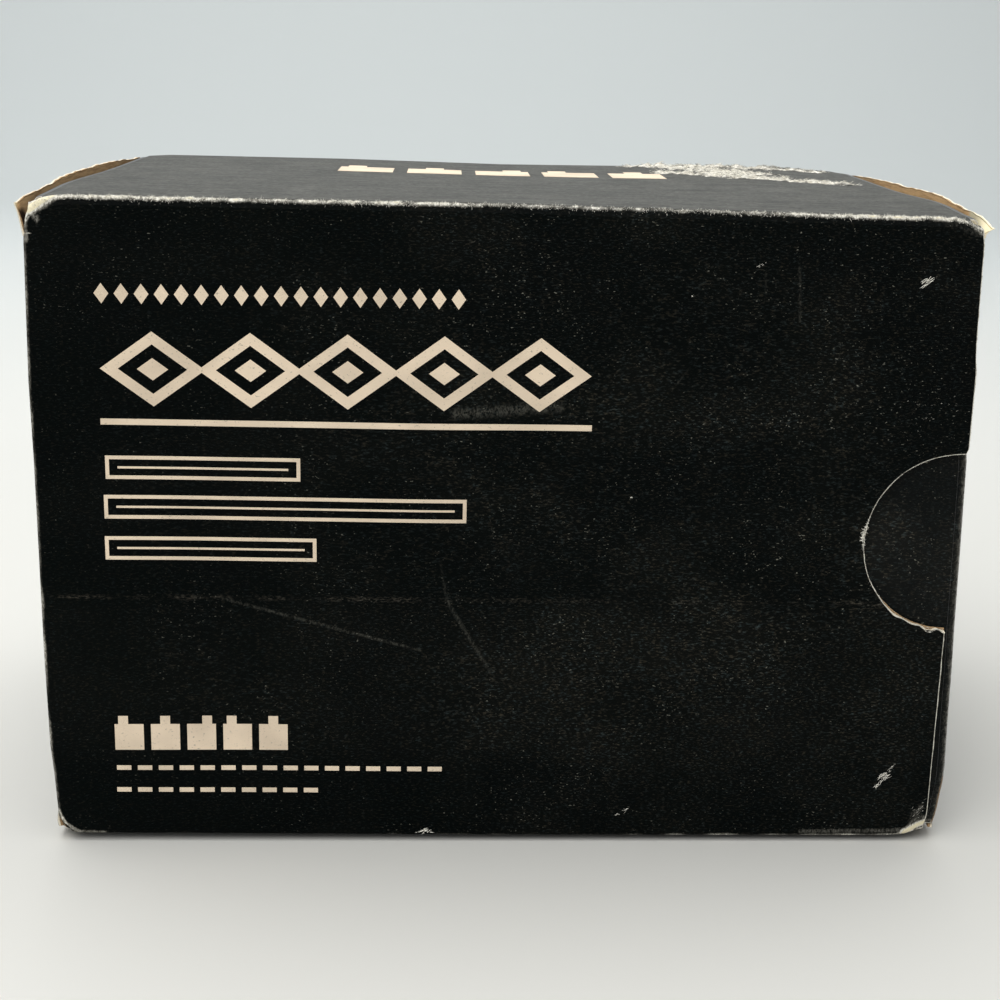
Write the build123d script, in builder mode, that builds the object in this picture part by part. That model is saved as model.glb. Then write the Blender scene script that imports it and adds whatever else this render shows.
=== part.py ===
"""A folding board carton for a pantry card tin, with the tin, its divider cards and its blank cards inside.

The frame has its origin at the middle of the carton's base. X runs along the length, the front faces -Y
and +Z is up. The two ends are alike under a half turn about Z: the right end panel hangs on the back
panel and tucks in behind the front one, and the left end panel hangs on the front panel.
"""
import math
import os

from build123d import *

os.makedirs("parts", exist_ok=True)

# ---------------------------------------------------------------- driving dimensions, in millimetres
# Cards
card_width = 127.0
card_height = 76.2
card_corner = 3.0
pack_thickness = 3.0
divider_thickness = 0.4
divider_count = 8
tab_positions = 4
tab_height = 8.0
tab_corner = 2.5
sheet_gap = 0.05

# Tin
sheet = 0.35
tin_depth = 80.0
tin_corner = 6.0
card_end_gap = 1.7
card_corner_gap = 0.1
tab_headroom = 8.3
base_rise = 1.2
foot_height = 2.4
body_share_height = 64.0
flange_height = 6.0
lid_side_gap = 0.35
lid_seat_gap = 0.15
lid_edge_round = 3.0
panel_margin = 12.0
panel_rise = 0.6
knuckle_radius = 0.9
pin_radius = 0.5
pin_running_gap = 0.05
knuckle_length = 5.0
knuckle_side_gap = 0.25
hinge_spread = 44.0
seam_width = 5.0

# Carton
board = 0.7
tin_headroom = 2.0
tin_end_gap = 1.15
tin_side_gap = 0.55
flap_gap = 0.3
tuck_gap = 0.15
tuck_length = 20.0
tuck_corner = 9.0
tuck_ratio = 0.4
closure_travel_deg = 120.0
dust_travel_deg = 90.0
tuck_slit = 0.4
cut_edge_inset = 0.9
end_bow = 2.4
end_panel_foot = 0.3
end_panel_proud = 0.9
notch_radius = 14.0
dust_length = 40.0
dust_front_gap = 0.8
dust_back_gap = 1.8
dust_taper_spare_deg = 3.1
dust_front_taper_deg = 3.0
dust_corner = 6.0
glue_width = 14.0
glue_end_gap = 1.25
glue_taper_deg = 45.0

# ---------------------------------------------------------------- sizes that follow from them
tin_wall_stack = 2 * sheet + lid_side_gap
tin_length = card_width + 2 * (card_end_gap + tin_wall_stack)
tin_height = base_rise + 2 * sheet + card_height + tab_height + tab_headroom

# The tuck flap folds in by tuck_ratio of its end panel's turn, and needs this much room to swing out.
tuck_set_in = (tuck_length * (1 - tuck_ratio)) ** 2 / (2 * tin_depth)
end_stack = sheet + tin_end_gap + board + flap_gap + board
side_stack = board + tuck_gap + tuck_set_in + board + tin_side_gap

carton_length = tin_length + 2 * end_stack
carton_depth = tin_depth + 2 * side_stack
carton_height = 3 * board + tin_height + tin_headroom

half_length = carton_length / 2
half_depth = carton_depth / 2
mid_height = carton_height / 2
cut_edge = half_length - cut_edge_inset
dust_crease = half_length - board - flap_gap
back_panel_top = carton_height - board
fold_reach = board * math.sqrt(0.5)
# A dust flap opens behind its end panel without touching it if its side slopes by more than their ratio.
dust_taper = math.atan(dust_travel_deg / closure_travel_deg) + math.radians(dust_taper_spare_deg)

tin_floor = board
card_floor = tin_floor + base_rise + sheet
shoulder_height = tin_floor + body_share_height
tin_top = tin_floor + tin_height

RIGHT = 1
LEFT = -1
UP = 1
DOWN = -1


# ---------------------------------------------------------------- sketch planes
def seen_from_above(side, height):
    """Local X runs out to that end and local Y towards the upright crease its end panel hangs on."""
    return Plane(origin=(0, 0, height), x_dir=(side, 0, 0), z_dir=(0, 0, 1))


def seen_from_front(side, way):
    """Local X runs out to that end, local Y up or down from the middle of the height."""
    return Plane(origin=(0, 0, mid_height), x_dir=(side, 0, 0), z_dir=(0, -side * way, 0))


def seen_from_end(side, way):
    """Local X runs towards the end panel's upright crease, local Y up or down from mid-height."""
    return Plane(origin=(0, 0, mid_height), x_dir=(0, side, 0), z_dir=(side * way, 0, 0))


# ---------------------------------------------------------------- folded board
def folded_corner(corner_x, towards_end):
    """Half of a folded corner at an end of a panel's outline, from its inner face to its outer face.

    The bend is round about the inner corner, and the two panels meet on its 45 degree line.
    """
    Line((corner_x, 0), (corner_x + towards_end * fold_reach, fold_reach))
    CenterArc((corner_x, 0), board, 90 - towards_end * 45, towards_end * 45)


def plate_outline(low, high, low_folded, high_folded):
    """A flat panel seen along its creases: X across the panel, Y outwards from its inner face."""
    inner_low = low + board if low_folded else low
    inner_high = high - board if high_folded else high
    with BuildLine() as outline:
        Line((inner_low, 0), (inner_high, 0))
        Line((inner_low, board), (inner_high, board))
        if low_folded:
            folded_corner(inner_low, -1)
        else:
            Line((inner_low, 0), (inner_low, board))
        if high_folded:
            folded_corner(inner_high, 1)
        else:
            Line((inner_high, 0), (inner_high, board))
    make_face(outline.edges())


def save(piece, name):
    piece.part.label = name
    export_step(piece.part, f"parts/{name}.step")


def upright_panel(side, name, top, top_folded):
    """The front or the back panel. It is folded to one end panel, and cut, with a notch, at the other."""
    inner_face = half_depth - board
    profile_plane = Plane(origin=(0, -side * inner_face, 0), x_dir=(0, 0, 1), z_dir=(side, 0, 0))
    plan_plane = seen_from_above(-side, 0)
    notch_centre = (side * cut_edge, -side * half_depth, mid_height)
    with BuildPart() as panel:
        with BuildSketch(profile_plane):
            plate_outline(0, top, True, top_folded)
        extrude(amount=half_length, both=True)
        with BuildSketch(plan_plane):
            with Locations((0, inner_face)):
                with BuildSketch(Plane.XY, mode=Mode.PRIVATE) as plan:
                    plate_outline(-cut_edge, half_length, False, True)
                add(plan.sketch)
        extrude(amount=carton_height, mode=Mode.INTERSECT)
        with BuildSketch(Plane(origin=notch_centre, z_dir=(0, -side, 0))):
            Circle(notch_radius)
        extrude(amount=-2 * board, mode=Mode.SUBTRACT)
    save(panel, name)


def level_panel(way, name, back, back_folded):
    """The top or the bottom panel. Both its ends are folded to dust flaps, set in by the end panel."""
    profile_plane = Plane(
        origin=(0, 0, mid_height + way * (mid_height - board)), x_dir=(0, way, 0), z_dir=(1, 0, 0)
    )
    low, high = (-half_depth, back) if way == UP else (-back, half_depth)
    low_folded, high_folded = (True, back_folded) if way == UP else (back_folded, True)
    with BuildPart() as panel:
        with BuildSketch(profile_plane):
            plate_outline(low, high, low_folded, high_folded)
        extrude(amount=half_length, both=True)
        with BuildSketch(seen_from_front(RIGHT, way)):
            with Locations((0, mid_height - board)):
                with BuildSketch(Plane.XY, mode=Mode.PRIVATE) as section:
                    plate_outline(-dust_crease, dust_crease, True, True)
                add(section.sketch)
        extrude(amount=half_depth, both=True, mode=Mode.INTERSECT)
    save(panel, name)


def glue_flap():
    """The seam flap. It is folded in from the top of the back panel and glued under the top panel."""
    taper_run = glue_width * math.tan(math.radians(glue_taper_deg))
    half_run = dust_crease - board - glue_end_gap
    crease_y = half_depth - board
    free_y = half_depth - glue_width
    profile_plane = Plane(origin=(0, 0, back_panel_top - board), x_dir=(0, 1, 0), z_dir=(1, 0, 0))
    with BuildPart() as flap:
        with BuildSketch(profile_plane):
            plate_outline(free_y, half_depth, False, True)
        extrude(amount=half_length, both=True)
        with BuildSketch(Plane.XY.offset(back_panel_top - board)):
            with BuildLine():
                Polyline(
                    (-half_run, half_depth),
                    (half_run, half_depth),
                    (half_run, crease_y),
                    (half_run - taper_run, free_y),
                    (taper_run - half_run, free_y),
                    (-half_run, crease_y),
                    close=True,
                )
            make_face()
        extrude(amount=board, mode=Mode.INTERSECT)
    save(flap, "glue_flap")


# ---------------------------------------------------------------- end closures
tuck_fold_y = -(half_depth - board - tuck_gap - board)
closure_inner_x = half_length - board
tuck_lean = math.asin(tuck_set_in / tuck_length)


def end_panel(side, name):
    """The end panel, bowed outwards. One upright edge is its crease, the other the tuck flap's fold."""
    crease_y = half_depth - board
    middle_y = (crease_y + tuck_fold_y) / 2
    panel_height = carton_height + end_panel_proud - end_panel_foot
    with BuildPart() as panel:
        with BuildSketch(seen_from_above(side, end_panel_foot)):
            with BuildLine():
                Line((closure_inner_x, crease_y), (closure_inner_x + fold_reach, crease_y + fold_reach))
                CenterArc((closure_inner_x, crease_y), board, 0, 45)
                ThreePointArc(
                    (half_length, crease_y), (half_length + end_bow, middle_y), (half_length, tuck_fold_y)
                )
                CenterArc((closure_inner_x, tuck_fold_y), board, -45, 45)
                Line(
                    (closure_inner_x + fold_reach, tuck_fold_y - fold_reach), (closure_inner_x, tuck_fold_y)
                )
                ThreePointArc(
                    (closure_inner_x, tuck_fold_y),
                    (closure_inner_x + end_bow, middle_y),
                    (closure_inner_x, crease_y),
                )
            make_face()
        extrude(amount=panel_height)
    save(panel, name)


def tuck_flap(side, name):
    """The flap that slides in behind the front or back panel. It leans in, so that it swings out freely."""
    low = board + tuck_slit
    high = carton_height - 2 * board - tuck_slit
    lean_deg = math.degrees(tuck_lean)
    run = (-tuck_length * math.cos(tuck_lean), tuck_length * math.sin(tuck_lean))
    across = (-board * math.sin(tuck_lean), -board * math.cos(tuck_lean))
    root = (closure_inner_x, tuck_fold_y)
    outer_root = (root[0] + across[0], root[1] + across[1])
    inner_tip = (root[0] + run[0], root[1] + run[1])
    outer_tip = (outer_root[0] + run[0], outer_root[1] + run[1])
    reach_x = half_length
    with BuildPart() as flap:
        with BuildSketch(seen_from_above(side, low)):
            with BuildLine():
                Line(root, (root[0] + fold_reach, root[1] - fold_reach))
                CenterArc(root, board, -45, -(45 + lean_deg))
                Line(outer_root, outer_tip)
                Line(outer_tip, inner_tip)
                Line(inner_tip, root)
            make_face()
        extrude(amount=high - low)
        with BuildSketch(seen_from_front(side, UP)) as face:
            with BuildLine():
                Polyline(
                    (outer_tip[0], low - mid_height),
                    (reach_x, low - mid_height),
                    (reach_x, high - mid_height),
                    (outer_tip[0], high - mid_height),
                    close=True,
                )
            make_face()
            fillet(face.vertices().sort_by(Axis.X)[:2], tuck_corner)
        extrude(amount=half_depth, both=True, mode=Mode.INTERSECT)
    save(flap, name)


def dust_flap(side, way, name):
    """A flap folded in from the top or bottom panel, inside the end panel. Its sides taper to its tip."""
    crease_in = dust_crease - board
    crease_level = mid_height - board
    tip_level = crease_level - dust_length
    back_root = half_depth - board - dust_back_gap
    front_root = tuck_fold_y + tuck_set_in + dust_front_gap
    back_tip = back_root - dust_length * math.tan(dust_taper)
    front_tip = front_root + dust_length * math.tan(math.radians(dust_front_taper_deg))
    with BuildPart() as flap:
        with BuildSketch(seen_from_front(side, way)):
            with BuildLine():
                Line((crease_in, crease_level), (crease_in + fold_reach, crease_level + fold_reach))
                CenterArc((crease_in, crease_level), board, 0, 45)
                Line((dust_crease, crease_level), (dust_crease, tip_level))
                Line((dust_crease, tip_level), (crease_in, tip_level))
                Line((crease_in, tip_level), (crease_in, crease_level))
            make_face()
        extrude(amount=half_depth, both=True)
        with BuildSketch(seen_from_end(side, way)) as face:
            with BuildLine():
                Polyline(
                    (front_root, mid_height),
                    (back_root, mid_height),
                    (back_root, crease_level),
                    (back_tip, tip_level),
                    (front_tip, tip_level),
                    (front_root, crease_level),
                    close=True,
                )
            make_face()
            fillet(face.vertices().group_by(Axis.Y)[0], dust_corner)
        extrude(amount=half_length, both=True, mode=Mode.INTERSECT)
    save(flap, name)


# ---------------------------------------------------------------- the tin
hinge_y = tin_depth / 2 + knuckle_radius - sheet
hinge_z = shoulder_height + lid_seat_gap
knuckle_gauge = knuckle_length + knuckle_side_gap


def ring(inset, thickness):
    """A closed strip of sheet metal round the tin, set in from the tin's outer face."""
    inner = inset + thickness
    RectangleRounded(tin_length - 2 * inset, tin_depth - 2 * inset, tin_corner - inset)
    RectangleRounded(
        tin_length - 2 * inner, tin_depth - 2 * inner, tin_corner - inner, mode=Mode.SUBTRACT
    )


def hinge_section(x):
    """The plane square to the hinge line at one place along it."""
    return Plane(origin=(x, hinge_y, hinge_z), x_dir=(0, 1, 0), z_dir=(1, 0, 0))


def knuckles(offsets):
    """Rolled hinge knuckles on the tin's back, each at an offset from the middle of its hinge."""
    for middle in (-hinge_spread / 2, hinge_spread / 2):
        for offset in offsets:
            start = middle + offset - knuckle_length / 2
            with BuildSketch(hinge_section(start)) as section:
                Circle(knuckle_radius)
            extrude(section.sketch, amount=knuckle_length)


def knuckle_clearances(offsets, low, high):
    """Slots in the sheet metal that let the other leaf's knuckles through."""
    slot_length = knuckle_length + 2 * knuckle_side_gap
    slot_depth = 2 * knuckle_radius + 2 * sheet
    for middle in (-hinge_spread / 2, hinge_spread / 2):
        for offset in offsets:
            with BuildSketch(Plane.XY.offset(low)) as slot:
                with Locations((middle + offset, hinge_y)):
                    Rectangle(slot_length, slot_depth)
            extrude(slot.sketch, amount=high - low, mode=Mode.SUBTRACT)


def pin_bores():
    """The bore through all the knuckles, a running fit on the pin."""
    with BuildSketch(hinge_section(0)) as bore:
        Circle(pin_radius + pin_running_gap)
    extrude(bore.sketch, amount=tin_length / 2, both=True, mode=Mode.SUBTRACT)


body_knuckles = (-knuckle_gauge, knuckle_gauge)
lid_knuckles = (0,)


def tin_body():
    """The wrapped wall, with an inset flange above its shoulder that the lid closes over."""
    flange_inset = sheet + lid_side_gap
    with BuildPart() as body:
        with BuildSketch(Plane.XY.offset(tin_floor + sheet)):
            ring(0, sheet)
        extrude(amount=shoulder_height - tin_floor - sheet)
        with BuildSketch(Plane.XY.offset(shoulder_height - sheet)):
            ring(0, flange_inset + sheet)
        extrude(amount=sheet)
        with BuildSketch(Plane.XY.offset(shoulder_height - sheet)):
            ring(flange_inset, sheet)
        extrude(amount=flange_height + sheet)
        with BuildSketch(Plane.XY.offset(tin_floor + foot_height + sheet)):
            with Locations((0, tin_depth / 2 + sheet / 2)):
                Rectangle(seam_width, sheet)
        extrude(amount=body_share_height - foot_height - 2 * sheet)
        knuckles(body_knuckles)
        knuckle_clearances(lid_knuckles, hinge_z - knuckle_radius - knuckle_side_gap, shoulder_height)
        pin_bores()
    save(body, "tin_body")


def tin_bottom():
    """The pressed base, raised inside a folded foot that grips the lower edge of the wall."""
    inner_inset = 2 * sheet
    with BuildPart() as base:
        with BuildSketch(Plane.XY.offset(tin_floor)):
            RectangleRounded(tin_length + 2 * sheet, tin_depth + 2 * sheet, tin_corner + sheet)
        extrude(amount=foot_height)
        with BuildSketch(Plane.XY.offset(tin_floor + sheet)):
            ring(0, sheet)
        extrude(amount=foot_height, mode=Mode.SUBTRACT)
        with BuildSketch(Plane.XY.offset(card_floor)):
            RectangleRounded(
                tin_length - 2 * inner_inset, tin_depth - 2 * inner_inset, tin_corner - inner_inset
            )
        extrude(amount=foot_height, mode=Mode.SUBTRACT)
        with BuildSketch(Plane.XY.offset(tin_floor)):
            RectangleRounded(
                tin_length - 2 * inner_inset, tin_depth - 2 * inner_inset, tin_corner - inner_inset
            )
        extrude(amount=base_rise, mode=Mode.SUBTRACT)
    save(base, "tin_bottom")


def tin_lid():
    """The lid: a deep pressed cap with a raised field on its top, hung on the back of the body."""
    skirt_foot = shoulder_height + lid_seat_gap
    plate_top = tin_top - panel_rise
    with BuildPart() as lid:
        with BuildSketch(Plane.XY.offset(skirt_foot)):
            RectangleRounded(tin_length, tin_depth, tin_corner)
        extrude(amount=plate_top - skirt_foot)
        fillet(lid.faces().sort_by(Axis.Z)[-1].edges(), lid_edge_round)
        with BuildSketch(Plane.XY.offset(plate_top)):
            RectangleRounded(
                tin_length - 2 * panel_margin, tin_depth - 2 * panel_margin, tin_corner
            )
        extrude(amount=panel_rise, taper=45)
        with BuildPart(mode=Mode.PRIVATE) as hollow:
            with BuildSketch(Plane.XY.offset(skirt_foot)):
                RectangleRounded(tin_length - 2 * sheet, tin_depth - 2 * sheet, tin_corner - sheet)
            extrude(amount=plate_top - sheet - skirt_foot)
            fillet(hollow.faces().sort_by(Axis.Z)[-1].edges(), lid_edge_round - sheet)
        add(hollow.part, mode=Mode.SUBTRACT)
        knuckles(lid_knuckles)
        knuckle_clearances(body_knuckles, skirt_foot, hinge_z + knuckle_radius + knuckle_side_gap)
        pin_bores()
    save(lid, "tin_lid")


def tin_hinge_pins():
    """Two wire pins, one through the knuckles of each hinge."""
    pin_length = 2 * knuckle_gauge + knuckle_length
    with BuildPart() as pins:
        for middle in (-hinge_spread / 2, hinge_spread / 2):
            start = middle - pin_length / 2
            with BuildSketch(hinge_section(start)):
                Circle(pin_radius)
            extrude(amount=pin_length)
    save(pins, "tin_hinge_pins")


# ---------------------------------------------------------------- cards and dividers
leaf_pitch = pack_thickness + divider_thickness + 2 * sheet_gap
flange_corner = tin_corner - tin_wall_stack
corner_drop = flange_corner - math.sqrt(flange_corner**2 - (flange_corner - card_end_gap) ** 2)
first_leaf_y = -tin_depth / 2 + tin_wall_stack + corner_drop + card_corner_gap


def leaf_plane(back_y):
    """The plane of a leaf's back face, with local Y up from the tin's floor. Leaves grow forwards."""
    return Plane(origin=(0, back_y, card_floor), x_dir=(1, 0, 0), z_dir=(0, -1, 0))


def card_sheet(sheet_plane, thickness):
    """A card standing on its long edge, or a squared-up pack of them, with round upper corners."""
    with BuildSketch(sheet_plane) as outline:
        with Locations((0, card_height / 2)):
            Rectangle(card_width, card_height)
        fillet(outline.vertices().group_by(Axis.Y)[-1], card_corner)
    extrude(outline.sketch, amount=thickness)


def divider(index, name):
    """A guide card with a blank tab. The tabs step across the row so that each can be reached."""
    sheet_plane = leaf_plane(first_leaf_y + index * leaf_pitch + divider_thickness)
    tab_width = card_width / tab_positions
    tab_x = -card_width / 2 + (index % tab_positions + 0.5) * tab_width
    with BuildPart() as leaf:
        card_sheet(sheet_plane, divider_thickness)
        with BuildSketch(sheet_plane) as tab:
            with Locations((tab_x, card_height / 2 + tab_height / 2)):
                Rectangle(tab_width - 2 * card_corner, card_height + tab_height)
            fillet(tab.vertices().group_by(Axis.Y)[-1], tab_corner)
        extrude(amount=divider_thickness)
    save(leaf, name)


def blank_card_packs():
    """A squared-up pack of blank cards behind each divider."""
    pack_offset = divider_thickness + sheet_gap + pack_thickness
    with BuildPart() as packs:
        for index in range(divider_count):
            pack_y = first_leaf_y + index * leaf_pitch + pack_offset
            card_sheet(leaf_plane(pack_y), pack_thickness)
    save(packs, "blank_card_packs")


# ---------------------------------------------------------------- build
upright_panel(RIGHT, "front_panel", carton_height, True)
upright_panel(LEFT, "back_panel", back_panel_top, True)
level_panel(UP, "top_panel", half_depth, False)
level_panel(DOWN, "bottom_panel", half_depth, True)
glue_flap()

for side, side_name in ((RIGHT, "right"), (LEFT, "left")):
    end_panel(side, f"{side_name}_end_panel")
    tuck_flap(side, f"{side_name}_tuck_flap")
    dust_flap(side, UP, f"{side_name}_upper_dust_flap")
    dust_flap(side, DOWN, f"{side_name}_lower_dust_flap")

tin_body()
tin_bottom()
tin_lid()
tin_hinge_pins()
for number in range(divider_count):
    divider(number, f"divider_{number + 1}")
blank_card_packs()

print(f"carton {carton_length:.2f} x {carton_depth:.2f} x {carton_height:.2f}")
print(f"tin {tin_length:.2f} x {tin_depth:.2f} x {tin_height:.2f}")
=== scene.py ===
"""The looks of a worn black board carton that holds a lidded tin of index cards.

The carton's board is rebuilt here panel by panel: flat slabs with raw cut edges, and a narrow strip at
each crease. Lengths are in millimetres and are turned into metres where a mesh is made. The frame's X
runs along the carton and its front faces -Y.
"""

import math

import bpy
import numpy as np
from mathutils import Matrix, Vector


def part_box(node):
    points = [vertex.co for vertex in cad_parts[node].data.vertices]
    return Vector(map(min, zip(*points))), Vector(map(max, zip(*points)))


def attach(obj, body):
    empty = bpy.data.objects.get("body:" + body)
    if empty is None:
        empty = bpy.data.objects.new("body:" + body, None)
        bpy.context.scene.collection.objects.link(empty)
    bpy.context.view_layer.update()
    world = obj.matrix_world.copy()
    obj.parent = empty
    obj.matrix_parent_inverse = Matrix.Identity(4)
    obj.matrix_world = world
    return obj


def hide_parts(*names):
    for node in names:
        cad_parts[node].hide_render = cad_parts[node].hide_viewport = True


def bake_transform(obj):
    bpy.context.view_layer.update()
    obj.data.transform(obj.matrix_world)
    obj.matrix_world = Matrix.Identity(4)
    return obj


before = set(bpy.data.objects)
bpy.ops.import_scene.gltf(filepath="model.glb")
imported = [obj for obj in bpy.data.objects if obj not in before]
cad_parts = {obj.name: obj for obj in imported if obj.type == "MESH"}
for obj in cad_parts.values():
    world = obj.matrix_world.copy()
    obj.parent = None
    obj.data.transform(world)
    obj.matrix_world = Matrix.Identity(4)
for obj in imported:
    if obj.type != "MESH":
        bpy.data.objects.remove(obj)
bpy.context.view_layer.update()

MM = 0.001
X, Y, Z = 0, 1, 2
LOW, HIGH = 0, 1


def face_of(node, axis, end):
    """One side of a CAD node's box, in millimetres."""
    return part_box(node)[end][axis] / MM


# ---------------------------------------------------------------- sizes of the folded board
board = 0.7
fold_loss = board * (1 - math.sqrt(0.5))
half_length = fold_loss - face_of("front_panel", X, LOW)
cut_edge = face_of("front_panel", X, HIGH)
half_depth = face_of("back_panel", Y, HIGH)
height = face_of("top_panel", Z, HIGH)
back_top = face_of("back_panel", Z, HIGH) + fold_loss
dust_crease = face_of("top_panel", X, HIGH) + fold_loss
end_low = face_of("right_end_panel", Z, LOW)
end_high = face_of("right_end_panel", Z, HIGH)
end_bow = face_of("right_end_panel", X, HIGH) - half_length
tuck_fold_y = face_of("right_end_panel", Y, LOW) + board - fold_loss
tuck_low = face_of("right_tuck_flap", Z, LOW)
tuck_high = face_of("right_tuck_flap", Z, HIGH)
glue_free_y = face_of("glue_flap", Y, LOW)
glue_half_run = face_of("glue_flap", X, HIGH)
dust_front_root = face_of("right_upper_dust_flap", Y, LOW)
dust_back_root = face_of("right_upper_dust_flap", Y, HIGH)
dust_tip = face_of("right_upper_dust_flap", Z, LOW)

mid_height = height / 2
inner_y = half_depth - board
inner_x = half_length - board
dust_inner_x = dust_crease - board
notch_radius = 14.0
tuck_length = 20.0
tuck_corner = 9.0
tuck_set_in = 0.9
dust_corner = 6.0
dust_back_taper = math.radians(39.97)
dust_front_taper = math.radians(3.0)
tuck_lean = math.asin(tuck_set_in / tuck_length)

# A crease strip is a quarter bend with a flat margin on each side of it.
margin = 0.65
bend_run = board * math.pi / 2
strip_run = 2 * margin + bend_run
crease_offset = margin + bend_run / 2


def smooth(start, end, value):
    """0 before start, 1 after end and a smooth rise between them."""
    share = np.clip((value - start) / (end - start), 0.0, 1.0)
    return share * share * (3 - 2 * share)


def hill(value, middle, spread):
    """A bell curve: 1 at the middle, fading out over the spread."""
    return np.exp(-(((value - middle) / spread) ** 2))


def nearest(*distances):
    return np.minimum.reduce(np.broadcast_arrays(*distances))


def strongest(*amounts):
    return np.maximum.reduce(np.broadcast_arrays(*amounts))


def wave_field(seed, wavelength, count=14):
    """A smooth random field over space: plane waves of about one wavelength, with a spread near 1."""
    rng = np.random.default_rng(seed)
    directions = rng.normal(size=(count, 3))
    directions /= np.linalg.norm(directions, axis=1)[:, None]
    numbers = directions * rng.uniform(0.6, 1.5, (count, 1)) * 2 * math.pi / wavelength
    phases = rng.uniform(0, 2 * math.pi, count)

    def field(points):
        return np.sin(points @ numbers.T + phases).sum(axis=-1) / math.sqrt(count / 2)

    return field


board_waves = wave_field(11, 46.0)
edge_waves = wave_field(12, 2.6)
ply_waves = wave_field(13, 0.9)
crease_waves = wave_field(14, 1.7)
chip_waves = wave_field(15, 1.1)
tear_waves = wave_field(16, 4.2)

# Rise of the top over its nominal level: along the front crease, and along the raw edge at the back.
rise_x = (-69.0, -63.0, -30.0, 0.0, 12.0, 38.0, 55.0, 64.0, 69.0)
front_rise = (0.0, 0.72, 0.72, 0.85, 0.65, 0.45, 0.3, 0.2, -0.35)
back_rise = (-0.1, 0.3, 0.35, 0.0, 0.1, 0.4, 0.4, 0.2, -0.1)

# How far the front's left crease stands out, and its cut edge, at levels up the carton.
left_levels = (0.0, 4.0, 10.0, 15.0, 30.0, 60.0, 72.0, 85.0, 92.0, 96.0)
left_out = (-0.5, -0.4, -0.1, 0.3, 0.5, 0.5, 0.66, 0.45, 0.3, 0.0)
cut_levels = (0.0, 35.0, 50.0, 62.5, 64.0, 76.0, 80.0, 97.0)
cut_out = (-0.1, -0.12, 0.0, 0.25, 0.9, 0.85, 0.5, 0.15)
bottom_sag = 1.15

# Crushed corners of the carton: where, how far they are pressed in, and over what distance.
crushed_corners = (
    ((-half_length, -half_depth, height), (0.55, 0.4, -0.85), 2.1),
    ((-half_length, -half_depth, 0.0), (0.75, 0.4, 0.7), 1.7),
    ((cut_edge, -half_depth, 0.0), (-0.35, 0.4, 0.7), 2.4),
    ((half_length, half_depth, height), (-0.7, -0.6, -0.8), 2.2),
    ((half_length, half_depth, 0.0), (-0.8, -0.6, 0.5), 2.0),
    ((cut_edge, -half_depth, height), (-0.2, 0.35, -1.1), 2.3),
)


def settled(points):
    """Points of the ideal carton moved to where its handled board lies. Every board piece uses it."""
    moved = points.copy()
    x, y, z = points[:, X], points[:, Y], points[:, Z]

    # The top rises and dips along its front crease and along its raw back edge.
    back_share = smooth(-half_depth, half_depth, y)
    at_front, at_back = np.interp(x, rise_x, front_rise), np.interp(x, rise_x, back_rise)
    crest = at_front * (1 - back_share) + at_back * back_share
    off_fold = np.hypot(y + half_depth, z - height)
    crest = crest + 0.06 * crease_waves(points * (1, 0, 0)) * smooth(1.2, 0.3, off_fold)
    moved[:, Z] += crest * smooth(0.6 * height, height, z)

    # The front's left crease and its cut edge stand out.
    near_front = smooth(-20.0, -40.0, y)
    near_top = smooth(90.0, 97.0, z)
    in_front_panel = (y < -inner_y + 0.01) & (x < cut_edge + 0.3)
    moved[:, X] -= np.interp(z, left_levels, left_out) * smooth(-60.0, -half_length, x) * near_front
    moved[:, X] += np.interp(z, cut_levels, cut_out) * smooth(58.0, cut_edge, x) * in_front_panel

    # The top panel's ends push out where the bowed end panels leave them room.
    left_push = hill(y, -17.0, 17.0) * smooth(-58.0, -dust_crease, x) * smooth(-71.0, -69.3, x) * near_top
    right_push = hill(y, -19.0, 14.0) * smooth(58.0, dust_crease, x) * smooth(70.2, 69.3, x) * near_top
    moved[:, X] += 1.0 * right_push - 1.2 * left_push
    moved[:, Z] += 0.35 * right_push

    # The front's low edge dips in its middle, the bottom sags, and the upright panels are a little wavy.
    low_middle = smooth(-60.0, 10.0, x) * smooth(69.0, 60.0, x) * smooth(25.0, 0.0, z)
    moved[:, Z] -= 0.28 * low_middle * near_front
    floor_in = np.minimum(dust_crease - np.abs(x), half_depth - np.abs(y))
    moved[:, Z] -= bottom_sag * smooth(0.0, 16.0, floor_in) * smooth(1.6, 1.0, z)
    far_in = np.minimum(half_length - np.abs(x), mid_height - np.abs(z - mid_height))
    on_upright = np.sign(y) * smooth(30.0, 42.0, np.abs(y))
    moved[:, Y] += 0.22 * board_waves(points) * smooth(0.0, 25.0, far_in) * on_upright

    for corner, press, reach in crushed_corners:
        away = np.linalg.norm(points - np.array(corner), axis=1)
        moved += hill(away, 0.0, reach)[:, None] * np.array(press)
    return moved


# Where the print is rubbed through to the paper: ends, radius and strength of each worn stretch.
front_face = -half_depth
worn_stretches = (
    ((-65.6, front_face + 0.3, 98.9), (-68.9, front_face + 0.3, 97.7), 1.25, 1.15),
    ((half_length, half_depth, 94.0), (half_length, half_depth, 98.5), 0.7, 0.9),
    ((half_length, half_depth, 0.0), (half_length - 3, half_depth, 0.0), 0.7, 0.9),
)
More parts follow.
